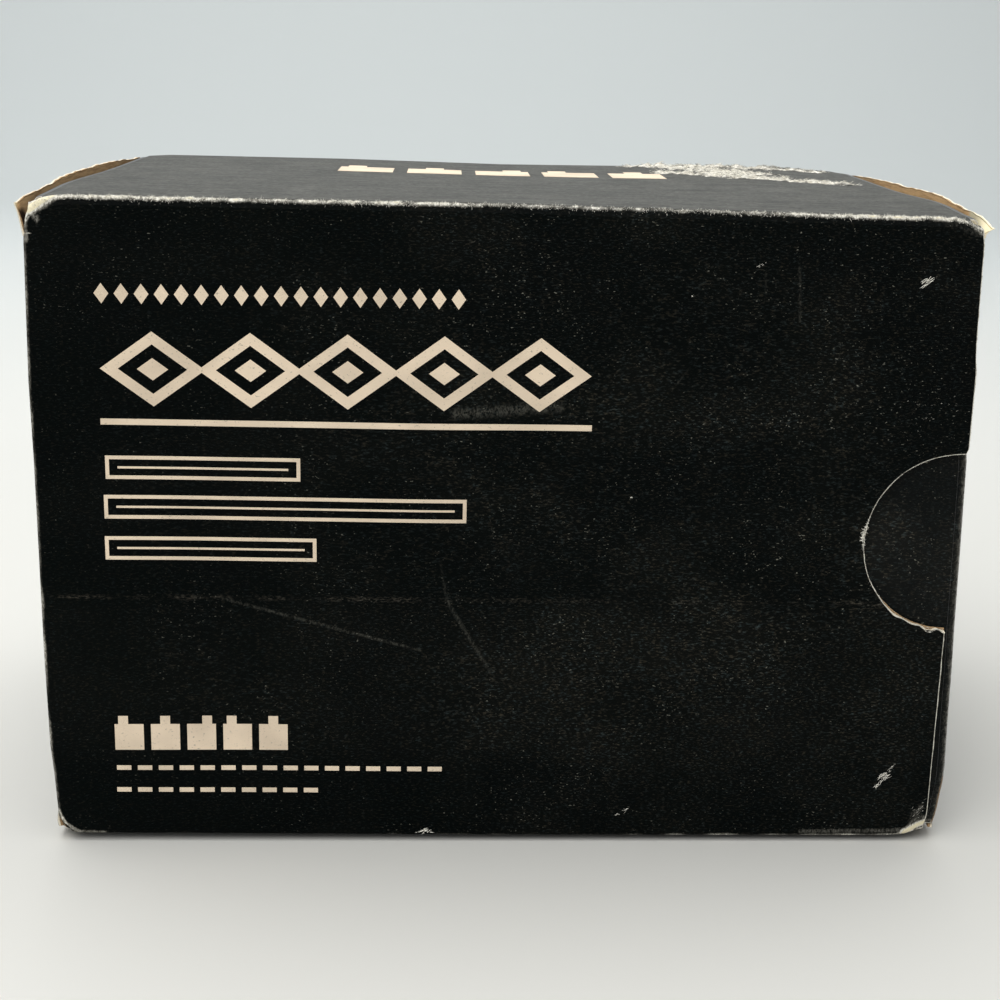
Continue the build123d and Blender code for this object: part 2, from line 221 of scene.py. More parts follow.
# The same on the front's face, with its places in x and z.
worn_front_stretches = (
    ((-69.0, 97.8), (-69.2, 95.6), 0.4, 0.85),
    ((-69.2, 95.0), (-69.0, 92.5), 0.45, 0.62),
    ((-68.0, 96.3), (-67.2, 95.0), 0.5, 0.6),
    ((-69.2, 95.4), (-68.5, 96.9), 0.35, 0.7),
    ((-66.9, 97.2), (-66.0, 97.0), 0.4, 0.55),
    ((-69.2, 3.9), (-68.4, 1.5), 0.34, 0.8),
    ((-68.4, 1.5), (-66.4, 0.4), 0.5, 0.7),
    ((-66.4, 0.4), (-62.0, 0.3), 0.42, 0.58),
    ((65.0, 0.4), (68.9, 1.9), 0.8, 1.1),
    ((66.0, 2.0), (68.4, 3.0), 0.8, 0.5),
    ((66.3, 3.5), (67.6, 5.0), 0.7, 0.5),
    ((48.0, 0.9), (66.0, 1.1), 0.5, 0.46),
    ((63.0, 97.5), (68.4, 96.9), 0.8, 0.36),
    ((66.6, 98.2), (68.9, 97.4), 0.5, 0.55),
)

# The liner torn off the top panel beside its back edge: a line of points, a half width and a strength.
tears = (
    (((29.5, 42.5), (34.0, 40.0), (40.0, 35.0), (46.0, 28.0)), 3.8, 1.15),
    (((30.5, 27.0), (38.0, 22.0), (45.0, 17.5)), 2.3, 1.0),
    (((38.0, 28.0), (46.0, 20.0), (53.0, 14.5), (59.5, 11.5)), 2.5, 1.2),
    (((36.0, 42.0), (50.0, 41.0), (61.0, 38.5)), 2.2, 0.85),
)

# Where the board is scraped through to its brown core, where its inside is darkened with painted shade, and
# where it has faded and is lightened with painted light.
scraped_stretches = (
    ((half_length, tuck_fold_y - 0.5, 1.5), (half_length, tuck_fold_y - 0.5, 9.5), 0.55, 0.7),
    ((-half_length, -half_depth, 0.6), (-half_length, -half_depth, 2.4), 0.5, 0.8),
)
painted_shade_stretches = (
    ((-half_length, -half_depth + 0.5, 91.0), (-half_length, -half_depth + 0.5, 96.2), 2.3, 1.0),
    ((half_length, -half_depth + 2.0, 95.6), (half_length, -half_depth + 2.0, 96.4), 0.8, 0.6),
)
# Faded places inside the closures, lightened partly as painted light.
faded_and_lit_stretches = (
    ((half_length, -half_depth, 99.0), (half_length, -39.0, 99.0), 9.0, 1.15),
    ((half_length, -39.0, 99.2), (half_length + 1.0, 24.0, 99.2), 4.0, 0.36),
    ((-half_length, -half_depth, 99.2), (-half_length, -42.4, 99.2), 0.9, 0.8),
    ((-half_length, -41.0, 99.2), (-half_length - 1.0, 24.0, 99.2), 4.0, 0.3),
)


def distance_to_segment(points, start, end):
    start, end = np.array(start), np.array(end)
    along = end - start
    share = np.clip((points - start) @ along / (along @ along), 0.0, 1.0)
    return np.linalg.norm(points - start - share[:, None] * along, axis=1)


def on_front(spot):
    """A place on the front's face, given in x and z."""
    return (spot[0], front_face, spot[1])


def stretch_amount(points, stretches):
    """The strongest of some stretches at each place: full along its middle and fading out round it."""
    return strongest(0.0, *(
        strength * (1 - smooth(0.35 * radius, 1.8 * radius, distance_to_segment(points, start, end)))
        for start, end, radius, strength in stretches
    ))


def torn_amount(points):
    """How far the top panel's liner is torn off, from 0 to about 1, over places on its face."""
    amounts = []
    for line, half_width, strength in tears:
        away = nearest(*(distance_to_segment(points[:, :2], *ends) for ends in zip(line, line[1:])))
        away = np.maximum(0.0, away + 0.28 * half_width * tear_waves(points * (0.6, 1.3, 0.0)))
        amounts.append(strength * (1 - smooth(0.3 * half_width, 1.7 * half_width, away)))
    return strongest(*amounts) * smooth(height - 3.0, height - 1.0, points[:, Z])


# How strongly the front's top and bottom creases are worn along their length.
top_wear_x = (-69.0, -60.0, -45.0, -37.0, -30.0, -10.0, -3.0, 18.0, 30.0, 40.0, 47.0, 56.0, 69.0)
top_wear = (1.0, 1.0, 0.95, 0.72, 0.84, 0.92, 0.68, 0.62, 0.7, 0.78, 0.92, 1.0, 0.82)
bottom_wear_x = (-66.0, -14.0, -9.0, 20.0, 45.0, 60.0, 68.0)
bottom_wear = (0.3, 0.3, 0.5, 0.48, 0.58, 0.66, 0.8)
crease_wear_width = 0.56
# Width of the grey along the right closure's front bend: wear, partly a painted highlight.
worn_and_lit_bend_width = 1.4


def crease_strength(points):
    """How strongly the creases are worn at each place: most along the front's top edge."""
    x, y, z = points[:, X], points[:, Y], points[:, Z]
    at_front = smooth(-40.5, -42.4, y)
    low_front = np.interp(x, bottom_wear_x, bottom_wear) + 0.14 * crease_waves(points * (0.25, 0, 0))
    left_wear = 0.56 + 0.08 * edge_waves(points * (0, 0, 0.5))
    along_top = np.interp(x, top_wear_x, top_wear) + 0.1 * edge_waves(points * (0.8, 0, 0))
    return strongest(
        0.42 * smooth(38.0, 42.0, y),
        0.3 * (1 - at_front),
        at_front * low_front * smooth(3.0, 1.4, z),
        at_front * left_wear * smooth(-67.0, -68.6, x),
        # The right closure's front bend: wear, partly a painted highlight.
        0.6 * smooth(68.0, 69.0, x) * smooth(-36.0, -40.0, y),
        at_front * along_top * smooth(height - 3.0, height - 1.6, z),
    )


def wear_amount(points, fold_distance):
    """How far the black print is gone at each place, from 0 to about 1."""
    # The right closure's front bend shows rubbed grey over a wide band: wear, partly a painted highlight.
    worn_and_lit_bend = smooth(66.5, 68.5, points[:, X]) * smooth(-36.0, -40.0, points[:, Y])
    front_stretches = [(on_front(start), on_front(end), *rest) for start, end, *rest in worn_front_stretches]
    return strongest(
        torn_amount(points),
        stretch_amount(points, (*worn_stretches, *front_stretches)),
        crease_strength(points) * hill(fold_distance, 0.0, crease_wear_width),
        0.47 * worn_and_lit_bend * hill(fold_distance, 0.0, worn_and_lit_bend_width),
    )


# ---------------------------------------------------------------- meshes
def new_piece(name, points, faces, material, attributes=None, sharp_deg=38.0):
    mesh = bpy.data.meshes.new(name)
    mesh.from_pydata((np.asarray(points) * MM).tolist(), [], faces)
    mesh.validate()
    for key, values in (attributes or {}).items():
        mesh.attributes.new(key, "FLOAT", "POINT").data.foreach_set("value", np.asarray(values, np.float32))
    mesh.shade_smooth()
    mesh.set_sharp_from_angle(angle=math.radians(sharp_deg))
    mesh.materials.append(material)
    piece = bpy.data.objects.new(name, mesh)
    bpy.context.scene.collection.objects.link(piece)
    return piece


# How far apart rows and columns are, at the sides of a panel and at most in its middle.
fine_step = 0.18
coarse_step = 1.5


def graded(length, fine=fine_step, coarse=coarse_step, growth=1.35):
    """Distances from 0 to length, close together at both ends and further apart in the middle."""
    steps = [fine]
    while steps[-1] < coarse and sum(steps) < length / 2.5:
        steps.append(min(coarse, steps[-1] * growth))
    near = np.concatenate(([0.0], np.cumsum(steps)))
    count = max(1, round((length - 2 * near[-1]) / coarse))
    middle = np.linspace(near[-1], length - near[-1], count + 1)[1:-1]
    return np.concatenate((near, middle, length - near[::-1]))


def columns_between(low, high, coarse):
    """For each row, places from low to high. Steps beside the two ends are alike in every row."""
    shortest = float((high - low).min())
    pattern = graded(shortest, coarse=coarse)
    stretch_share = smooth(0.2, 0.8, pattern / shortest)
    extra = (high - low - shortest)[:, None]
    return low[:, None] + pattern[None, :] + extra * stretch_share[None, :]


# The cut faces of the board: rings of points across it, and how ragged, hollow and round they are.
layer_steps = 5
ragged_depth = 0.05
cut_hollow = 0.05
edge_round = 0.05
round_width = 0.1
at_cut = 0.01
far = 99.0


def slab(name, rows, low, high, place, material, cut_sides, fold_sides=None, fold_distance=None,
         cut_distance=None, adjust=None, coarse=coarse_step):
    """A closed slab of board over rows and columns, with a ragged face along each of its cut sides.

    low and high are each row's first and last column. place(column, row, level) gives a point, where
    level is 0 on the inner face and 1 on the printed one. cut_sides tells which of the first column,
    last column, first row and last row are cut, and fold_sides which are at a crease: the others,
    unless it is given. fold_distance and cut_distance replace or add to the ways to these sides.
    """
    rows = np.asarray(rows, float)
    low = np.broadcast_to(np.asarray(low, float), rows.shape)
    high = np.broadcast_to(np.asarray(high, float), rows.shape)
    column_grid = columns_between(low, high, coarse)
    row_count, column_count = column_grid.shape
    column, row = column_grid.ravel(), np.repeat(rows, column_count)
    row_index, column_index = np.divmod(np.arange(len(column)), column_count)

    def to_sides(sides, first, last):
        """The way to the nearest of the given sides, for columns that run from first to last."""
        ways = (column - first, last - column, row - rows[0], rows[-1] - row)
        return nearest(np.full(len(column), far), *(way for way, counts in zip(ways, sides) if counts))

    away = to_sides(cut_sides, low[row_index], high[row_index])
    if cut_distance is not None:
        away = nearest(away, cut_distance(column, row))
    if fold_distance is None:
        fold_sides = fold_sides or [not is_cut for is_cut in cut_sides]
        to_fold = to_sides(fold_sides, low.max(), high.min()) + crease_offset
    else:
        to_fold = fold_distance(column, row)

    index = np.arange(row_count * column_count).reshape(row_count, column_count)
    rim = np.concatenate((index[0, :-1], index[:-1, -1], index[-1, :0:-1], index[:0:-1, 0]))
    first_column, last_column, first_row, last_row = np.array(cut_sides, float)
    push_column = last_column * (column_index == column_count - 1) - first_column * (column_index == 0)
    push_row = last_row * (row_index == row_count - 1) - first_row * (row_index == 0)

    def points_at(chosen, level, layer):
        ideal = place(column[chosen], row[chosen], level)
        ragged = ragged_depth * (0.6 * edge_waves(ideal) + 0.5 * ply_waves(ideal + layer))
        ragged = ragged - cut_hollow * math.sin(math.pi * layer)
        moved_column = column[chosen] + ragged * push_column[chosen]
        moved_row = row[chosen] + ragged * push_row[chosen]
        return ideal, place(moved_column, moved_row, level)

    everywhere = np.arange(len(column))
    crown = edge_round / board * hill(away, 0.0, round_width)
    between = [step / layer_steps for step in range(1, layer_steps)]
    blocks = [(everywhere, 1 - crown, 0.0), (everywhere, crown * 0.6, 1.0)]
    blocks += [(rim, np.full(len(rim), 1 - layer), layer) for layer in between]
    ideal, points = (np.concatenate(v) for v in zip(*(points_at(*block) for block in blocks)))
    chosen = np.concatenate([block[0] for block in blocks])
    layer = np.concatenate([np.full(len(block[0]), block[2]) for block in blocks])
    layer = np.where(away[chosen] < at_cut, layer, np.round(layer))
    if adjust is not None:
        points = adjust(points)
    points = settled(points)

    corners = np.stack((index[:-1, :-1], index[:-1, 1:], index[1:, 1:], index[1:, :-1]), axis=-1)
    corners = corners.reshape(-1, 4)
    size = row_count * column_count
    faces = corners.tolist() + (corners[:, ::-1] + size).tolist()
    between_rings = [2 * size + step * len(rim) + np.arange(len(rim)) for step in range(layer_steps - 1)]
    rings = [rim, *between_rings, rim + size]
    for upper, lower in zip(rings, rings[1:]):
        faces += np.stack((upper, lower, np.roll(lower, -1), np.roll(upper, -1)), axis=-1).tolist()
    if not faces_point_out(points, corners, size):
        faces = [face[::-1] for face in faces]
    attributes = {
        "layer": layer,
        "cut_mm": away[chosen],
        "wear": wear_amount(ideal, to_fold[chosen]),
        "tan": stretch_amount(ideal, scraped_stretches),
        # The next two darken the inside with painted shade, and lighten it where faded and with painted
        # light.
        "painted_shade": stretch_amount(ideal, painted_shade_stretches),
        "faded_and_lit": stretch_amount(ideal, faded_and_lit_stretches),
        "top": smooth(height - 0.4, height - 0.05, ideal[:, Z]),
    }
    return new_piece(name, points, faces, material, attributes)


def faces_point_out(points, corners, size):
    """True if the printed face's corners run round it anticlockwise, seen from outside."""
    a, b, c = (points[corners[:, k]] for k in range(3))
    normals = np.cross(b - a, c - a)
    outward = points[corners[:, 0]] - points[corners[:, 0] + size]
    return float((normals * outward).sum()) > 0


def bow(y):
    """How far an end panel stands out at y: an arc from its crease to its tuck fold."""
    half_chord = (inner_y - tuck_fold_y) / 2
    middle = (inner_y + tuck_fold_y) / 2
    radius = (half_chord**2 + end_bow**2) / (2 * end_bow)
    inside = np.clip(radius**2 - (y - middle) ** 2, 0.0, None)
    return np.maximum(0.0, np.sqrt(inside) - (radius - end_bow))


def stacked(*parts):
    return np.stack(np.broadcast_arrays(*parts), axis=-1).astype(float)


# ---------------------------------------------------------------- node trees
class Signal:
    """One output in a material's tree, with the arithmetic and the mixes that the looks are made of."""

    def __init__(self, shader, socket):
        self.shader = shader
        self.socket = socket

    def math(self, operation, value, clamp=False):
        return self.shader.node("Math", (self, value), operation=operation, use_clamp=clamp)

    def __add__(self, value):
        return self.math("ADD", value)

    def __sub__(self, value):
        return self.math("SUBTRACT", value)

    def __mul__(self, value):
        return self.math("MULTIPLY", value)

    def most(self, value):
        return self.math("MAXIMUM", value)

    def vector(self, operation, value, output=0):
        return self.shader.node("VectorMath", (self, value), operation=operation, output=output)

    def axis(self, axis):
        return self.shader.node("SeparateXYZ", (self,), output=axis)

    def between(self, start, end, low=0.0, high=1.0):
        """A smooth rise from low to high while this goes from start to end."""
        return self.shader.node("MapRange", (self, start, end, low, high), interpolation_type="SMOOTHSTEP")

    def mix(self, first, second):
        """The first colour where this is 0 and the second where it is 1."""
        colours = [v if isinstance(v, Signal) else (*v, 1.0) for v in (first, second)]
        return self.shader.node("Mix", {0: self, 6: colours[0], 7: colours[1]}, output=2, data_type="RGBA")


class Shader:
    """One material, with short calls that add nodes to it and return their outputs."""

    def __init__(self, name):
        self.material = bpy.data.materials.new(name)
        self.material.use_nodes = True
        self.tree = self.material.node_tree
        self.surface = next(n for n in self.tree.nodes if n.type == "BSDF_PRINCIPLED")
        self.spot = self.node("TexCoord", output=3).vector("MULTIPLY", (1 / MM,) * 3)

    def feed(self, socket, value):
        if isinstance(value, Signal):
            self.tree.links.new(value.socket, socket)
        else:
            socket.default_value = value

    def node(self, kind, inputs=(), output=0, **settings):
        made = self.tree.nodes.new("ShaderNode" + kind)
        for key, value in settings.items():
            setattr(made, key, value)
        for key, value in inputs.items() if isinstance(inputs, dict) else enumerate(inputs):
            self.feed(made.inputs[key], value)
        return Signal(self, made.outputs[output])

    def attribute(self, name):
        return self.node("Attribute", output=2, attribute_name=name, attribute_type="GEOMETRY")

    def noise(self, scale, detail=3.0, roughness=0.55, distortion=0.0):
        """Noise over the piece, with one scale, or with one for each axis, in waves per millimetre."""
        spot = self.spot
        if isinstance(scale, tuple):
            spot, scale = spot.vector("MULTIPLY", scale), 1.0
        inputs = {"Vector": spot, "Scale": scale, "Detail": detail, "Roughness": roughness,
                  "Distortion": distortion}
        return self.node("TexNoise", inputs)

    def relief(self, level_mm):
        """A bump from a height in millimetres."""
        return self.node("Bump", {"Height": level_mm, "Distance": MM, "Strength": 1.0})

    def finish(self, colour, roughness, normal=None, **constants):
        self.feed(self.surface.inputs["Base Color"], colour)
        self.feed(self.surface.inputs["Roughness"], roughness)
        if normal is not None:
            self.feed(self.surface.inputs["Normal"], normal)
        for key, value in constants.items():
            self.surface.inputs[key.replace("_", " ").title().replace("Ior", "IOR")].default_value = value
        return self.material


def srgb(red, green, blue):
    """A colour given as 8 bit screen values, as linear light."""
    def linear(value):
        share = value / 255
        return share / 12.92 if share <= 0.04045 else ((share + 0.055) / 1.055) ** 2.4
    return (linear(red), linear(green), linear(blue))


def shaded(colour, share):
    return tuple(share * v for v in colour)


ink = srgb(5, 8, 8)
ink_dusty = srgb(17, 18, 16)
fleck_warm = srgb(72, 68, 58)
fleck_cool = srgb(60, 69, 69)
ink_speck = srgb(118, 117, 107)
# The top panel's greys: dust, and a painted sheen of light grazing it.
top_dust_sheen_dark = srgb(48, 48, 45)
top_dust_sheen_light = srgb(96, 95, 89)
bare_paper = srgb(238, 234, 222)
bare_shade = srgb(168, 162, 148)
bare_grey = srgb(122, 119, 110)
bare_yellowed = srgb(238, 228, 196)
liner_cream = srgb(244, 234, 212)
core_brown = srgb(178, 146, 108)
kraft = srgb(196, 168, 130)
kraft_shade = srgb(164, 128, 90)
# Light tan and cream for the faded inside, partly painted light.
kraft_painted_light = srgb(228, 186, 134)
kraft_faded_and_lit = srgb(234, 222, 186)
kraft_painted_shade = srgb(46, 33, 22)
print_cream = srgb(240, 220, 194)
scratch_grey = srgb(112, 111, 102)
rub_brown = srgb(84, 79, 70)


# Faint scratches on the front, in x and z, with their width and strength.
front_scratches = (
    ((-43.2, 39.3), (-13.0, 31.1), 0.4, 0.3),
    ((-10.1, 45.7), (-8.9, 39.0), 0.4, 0.22),
    ((-8.9, 39.0), (-2.2, 27.6), 0.5, 0.26),
    ((23.9, 72.5), (30.5, 81.6), 0.3, 0.28),
    ((30.5, 81.6), (37.3, 86.2), 0.3, 0.25),
    ((37.0, 86.0), (36.9, 90.5), 0.35, 0.2),
    ((41.7, 91.0), (42.3, 83.0), 0.35, 0.2),
    ((-8.0, 68.4), (7.2, 69.6), 1.3, 0.4),
)
rub_line_level = 39.3
print_relief = 0.014
fray_relief = 0.14


def segment_mark(shader, start, end, width):
    """1 on a thin straight scratch across the front between two places, fading out over its width."""
    start, end = on_front(start), on_front(end)
    along = tuple(b - a for a, b in zip(start, end))
    square = sum(v * v for v in along)
    offset = shader.spot.vector("SUBTRACT", start)
    share = offset.vector("DOT_PRODUCT", along, output=1).math("DIVIDE", square, clamp=True)
    reach = shader.node("VectorMath", {0: along, 3: share}, operation="SCALE")
    away = shader.node("VectorMath", (offset.vector("SUBTRACT", reach),), operation="LENGTH", output=1)
    return away.between(0.0, width, 1.0, 0.0)


def front_marks(shader, printed, grain, threads):
    """Scratches and a dusty rub line across the front's print."""
    for start, end, width, strength in front_scratches:
        broken = segment_mark(shader, start, end, width) * threads.between(0.4, 0.66)
        printed = (broken * strength).mix(printed, scratch_grey)
    off_line = (shader.spot.axis(Z) - rub_line_level).math("ABSOLUTE", 0.0)
    rub = off_line.between(0.0, 0.6, 1.0, 0.0) * grain.between(0.42, 0.7)
    rub = rub * shader.noise((0.13, 0.13, 0.13), 2.0).between(0.42, 0.64, 0.05, 0.6)
    return rub.mix(printed, rub_brown)


def board_material(name, front=False, top=False, end=False):
    """Black printed board: fibre grain, dust and wear outside, brown core at cut edges, kraft inside."""
    shader = Shader(name)
    layer = shader.attribute("layer")
    wear = shader.attribute("wear")
    grain = shader.noise((1.5, 2.0, 4.2), 3.0, 0.62)
    threads = shader.noise((0.7, 0.9, 1.3) if top and not front else (2.4, 1.3, 1.3), 4.0, 0.75, 0.6)

    # The black print: grain along the sheet, dust in soft clouds, and paler fibre ends of two tints.
    dust = shader.noise((0.045, 0.05, 0.06), 3.0, 0.6).between(0.4, 0.66)
    # On the front, dust and flecks thin out towards the left, which makes it darker there.
    fewer_to_left = 1.0
    if front:
        across, level = shader.spot.axis(X), shader.spot.axis(Z)
        low_zone = level.between(9.0, 17.0) * level.between(36.0, 41.0, 1.0, 0.3)
        dust = (dust * 0.5).math("ADD", low_zone * 0.4, clamp=True)
        dust = dust * across.between(-50.0, 15.0, 0.45, 1.0)
        fewer_to_left = across.between(-50.0, 15.0, 0.55, 1.0)
    fleck = shader.noise((0.7, 0.7, 0.9), 2.0).between(0.4, 0.6).mix(fleck_warm, fleck_cool)
    fleck_share = grain.between(0.5, 0.76) * dust.between(0.0, 1.0, 0.3, 0.95)
    speck_zone = shader.noise((0.08, 0.08, 0.1), 2.0).between(0.36, 0.6, 0.1, 1.0)
    speck_share = shader.noise((2.2, 2.4, 4.4), 1.0, 0.5).between(0.7, 0.79) * speck_zone
    printed = (fleck_share * fewer_to_left).mix(dust.mix(ink, ink_dusty), fleck)
    printed = (speck_share * fewer_to_left).mix(printed, ink_speck)
    if front:
        printed = front_marks(shader, printed, grain, threads)
    if top:
        # The top is grey in streaks: dust, and a painted sheen of grazing light.
        streak = shader.noise((0.14, 0.5, 0.3), 5.0, 0.8)
        dust_and_sheen = (streak + (threads - 0.5) * 0.6).between(0.28, 0.74).mix(top_dust_sheen_dark, top_dust_sheen_light)
        printed = shader.attribute("top").mix(printed, dust_and_sheen)

    # Worn creases and bare places: the white liner's fibres show through a ragged edge.
    worn_level = wear * 0.72 + threads * 0.62
    near_wear = wear.between(0.03, 0.3)
    fray = worn_level.between(0.52, 0.8, 0.0, 0.4) * near_wear
    thin = worn_level.between(0.78, 0.9) * near_wear
    rim = shader.attribute("cut_mm").between(0.07, 0.19, 1.0, 0.0)
    worn = thin.most(fray).most(rim)
    paper = threads.between(0.36, 0.6).mix(bare_shade, bare_paper)
    if front or end:
        paper = wear.between(0.96, 1.1).mix(paper, bare_yellowed)
    paper = (wear + rim).between(0.35, 0.75).mix(bare_grey, paper)

    # Cut faces and the inside. An end panel's board runs the other way from the rest.
    streaks = shader.noise((0.9, 0.1, 4.0) if end else (0.9, 0.9, 5.0), 2.0)
    pulp = shader.noise((0.9, 0.12, 1.6) if end else (0.6, 0.6, 0.6), 5.0, 0.75)
    # Fading, partly painted light: the inside turns light tan, then pale, near the closures' tops, most at
    # the right front.
    fading_and_light = shader.attribute("faded_and_lit") + (pulp - 0.5) * 0.9
    faded_and_lit = fading_and_light.between(0.5, 0.95)
    brown = faded_and_lit.mix(streaks.between(0.3, 0.7).mix(shaded(core_brown, 0.5), core_brown), kraft_faded_and_lit)
    inside = fading_and_light.between(0.1, 0.6).mix(pulp.between(0.34, 0.62).mix(kraft_shade, kraft), kraft_painted_light)
    inside = faded_and_lit.mix(inside, kraft_faded_and_lit)
    # Painted shade: the inside turns dark brown near the closures' front tops, where the gaps lie in shade.
    inside = shader.attribute("painted_shade").between(0.1, 0.85).mix(inside, kraft_painted_shade)
    edge_layer = layer + (threads - 0.5) * layer.between(0.0, 0.3, 0.0, 0.3)
    colour = edge_layer.between(0.02, 0.06).mix(worn.mix(printed, paper), liner_cream)
    colour = edge_layer.between(0.4, 0.52).mix(colour, brown)
    colour = edge_layer.between(0.84, 0.97).mix(colour, inside)
    scraped = shader.attribute("tan") + threads * 0.6
    colour = scraped.between(0.72, 0.95).mix(colour, shaded(core_brown, 0.45))

    not_printed = worn.most(layer.between(0.02, 0.1))
    smoothest, roughest = (0.5, 0.62) if front else (0.4, 0.56)
    roughness = not_printed * 0.4 + grain.between(0.3, 0.7, smoothest, roughest)
    relief = shader.relief(grain * print_relief + worn * threads * fray_relief)
    gloss = 0.02 if front and not top else 0.06
    nap = 0.1 if top else 0.0 if front or end else 0.8
    return shader.finish(colour, roughness, relief, specular_ior_level=gloss, sheen_weight=nap,
                         sheen_roughness=0.3)


black_board = board_material("black_board")
front_board = board_material("front_board", front=True)
top_board = board_material("top_board", top=True)
end_board = board_material("end_board", end=True)
front_top_board = board_material("front_top_board", front=True, top=True)


# ---------------------------------------------------------------- panels of the carton
def panel(name, body, rows, low, high, place, material, cut_sides, slot="black_board", **details):
    """A panel of the carton: a slab that stands for the CAD node of the same name."""
    piece = slab(name, rows, low, high, place, material, cut_sides, **details)
    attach(piece, body)
    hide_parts(name)


def notched_rows(start, end):
    """Rows up a panel with a thumb notch: close together at the notch's two horizontal ends."""
    angles = np.linspace(-math.pi / 2, math.pi / 2, 61)
    notch = mid_height + notch_radius * np.sin(angles)
    below = start + graded(notch[0] - start)
    above = notch[-1] + graded(end - notch[-1])
    return np.concatenate((below[:-1], notch, above[1:]))


def notch_depth(rows):
    inside = np.clip(notch_radius**2 - (rows - mid_height) ** 2, 0.0, None)
    return np.sqrt(inside)


step_half_gap = 0.12
least_gap = 0.1


def with_steps(rows, *steps):
    """Rows with a close pair added at each step, for a side that jumps there."""
    pairs = [step + offset for step in steps for offset in (-step_half_gap, step_half_gap)]
    kept = [row for row in rows if all(abs(row - pair) > least_gap for pair in pairs)]
    return np.sort(np.array(kept + pairs))


# The left closure's crease is torn above this level. A slit parts each tuck crease from the board past it.
torn_crease_from = 93.7
tuck_slit = 0.4


def upright_panel(side, name, top, material):
    """The front or the back panel, from its hinge crease to its cut edge with the notch."""
    start, end = board + margin, top - board - margin
    is_front = side > 0
    rows = with_steps(notched_rows(start, end), torn_crease_from) if is_front else notched_rows(start, end)
    crease_column = -(inner_x - margin)
    torn = (rows > torn_crease_from) & is_front
    low = np.where(torn, -half_length + 0.2, crease_column)
    cut_column = cut_edge - notch_depth(rows)

    def place(column, row, level):
        level = level + np.zeros(len(column))
        across, up = column - cut_edge, row - mid_height
        radius = np.hypot(across, up) + 1e-9
        lip = hill(radius, notch_radius, 0.4) * smooth(-0.55, -0.95, up / radius) * smooth(15.0, 14.5, -up)
        ripple = 0.8 + 0.35 * edge_waves(stacked(column, 0.0, row))
        peel = 0.5 * lip * level * is_front * ripple
        x = column + peel * across / radius
        z = row + peel * up / radius
        return stacked(side * x, -side * (inner_y + board * level + 0.25 * peel), z)

    def to_notch(column, row):
        radius = np.hypot(column - cut_edge, row - mid_height)
        return np.where(np.abs(row - mid_height) < notch_radius + 3, np.abs(radius - notch_radius), far)

    panel(name, "carton", rows, low, cut_column, place, material, (False, True, False, False),
          cut_distance=to_notch)


def torn_relief(points):
    """The torn place is uneven, and the raw back edge beside it has lifted."""
    moved = points.copy()
    on_face = points[:, Z] > height - 0.5 * board
    torn = np.clip(torn_amount(points), 0, 1)
    moved[:, Z] += 0.22 * torn * chip_waves(points * (0.35, 0.8, 1.0)) * on_face
    loose = smooth(half_depth - 5, half_depth, points[:, Y]) * smooth(24.0, 32.0, points[:, X])
    moved[:, Z] += 0.3 * loose * smooth(62.0, 56.0, points[:, X]) * (0.7 + 0.3 * edge_waves(points))
    return moved


def level_place(inner_level, rise):
    """Where a level panel's points are. rise is 1 if its printed face looks up and -1 if it looks down."""
    def place(column, row, level):
        return stacked(column, row, inner_level + rise * board * level)
    return place


def top_panel():
    start, reach = -(inner_y - margin), dust_inner_x - margin
    rows = start + graded(half_depth - start, 0.2, 0.7)
    panel("top_panel", "carton", rows, -reach, reach, level_place(height - board, 1), top_board,
          (False, False, False, True), adjust=torn_relief, coarse=0.7)


def bottom_panel():
    start, reach = -(inner_y - margin), dust_inner_x - margin
    rows = start + graded(-2 * start, 0.2, 2.0)
    panel("bottom_panel", "carton", rows, -reach, reach, level_place(board, -1), black_board,
          (False,) * 4, coarse=2.0)


def glue_flap():
    """The seam flap under the top panel's back edge. Its ends taper at 45 degrees."""
    rows = glue_free_y + graded(inner_y - margin - glue_free_y, 0.2, 1.2)
    reach = glue_half_run - (inner_y - rows)
    panel("glue_flap", "carton", rows, -reach, reach, level_place(back_top - board, 1), black_board,
          (True, True, True, False), slot="kraft_board", coarse=2.0)


# How far the right closure's tuck crease stands out at levels up the carton.
sprung_levels = (0.0, 2.0, 4.0, 7.0, 9.0, 12.0, 20.0, 28.0, 35.0, 48.0, 62.0, 66.0, 98.0)
sprung_out = (0.55, 0.7, 0.95, 1.25, 1.5, 1.55, 1.3, 1.15, 0.9, 0.6, 0.25, -0.3, -0.3)


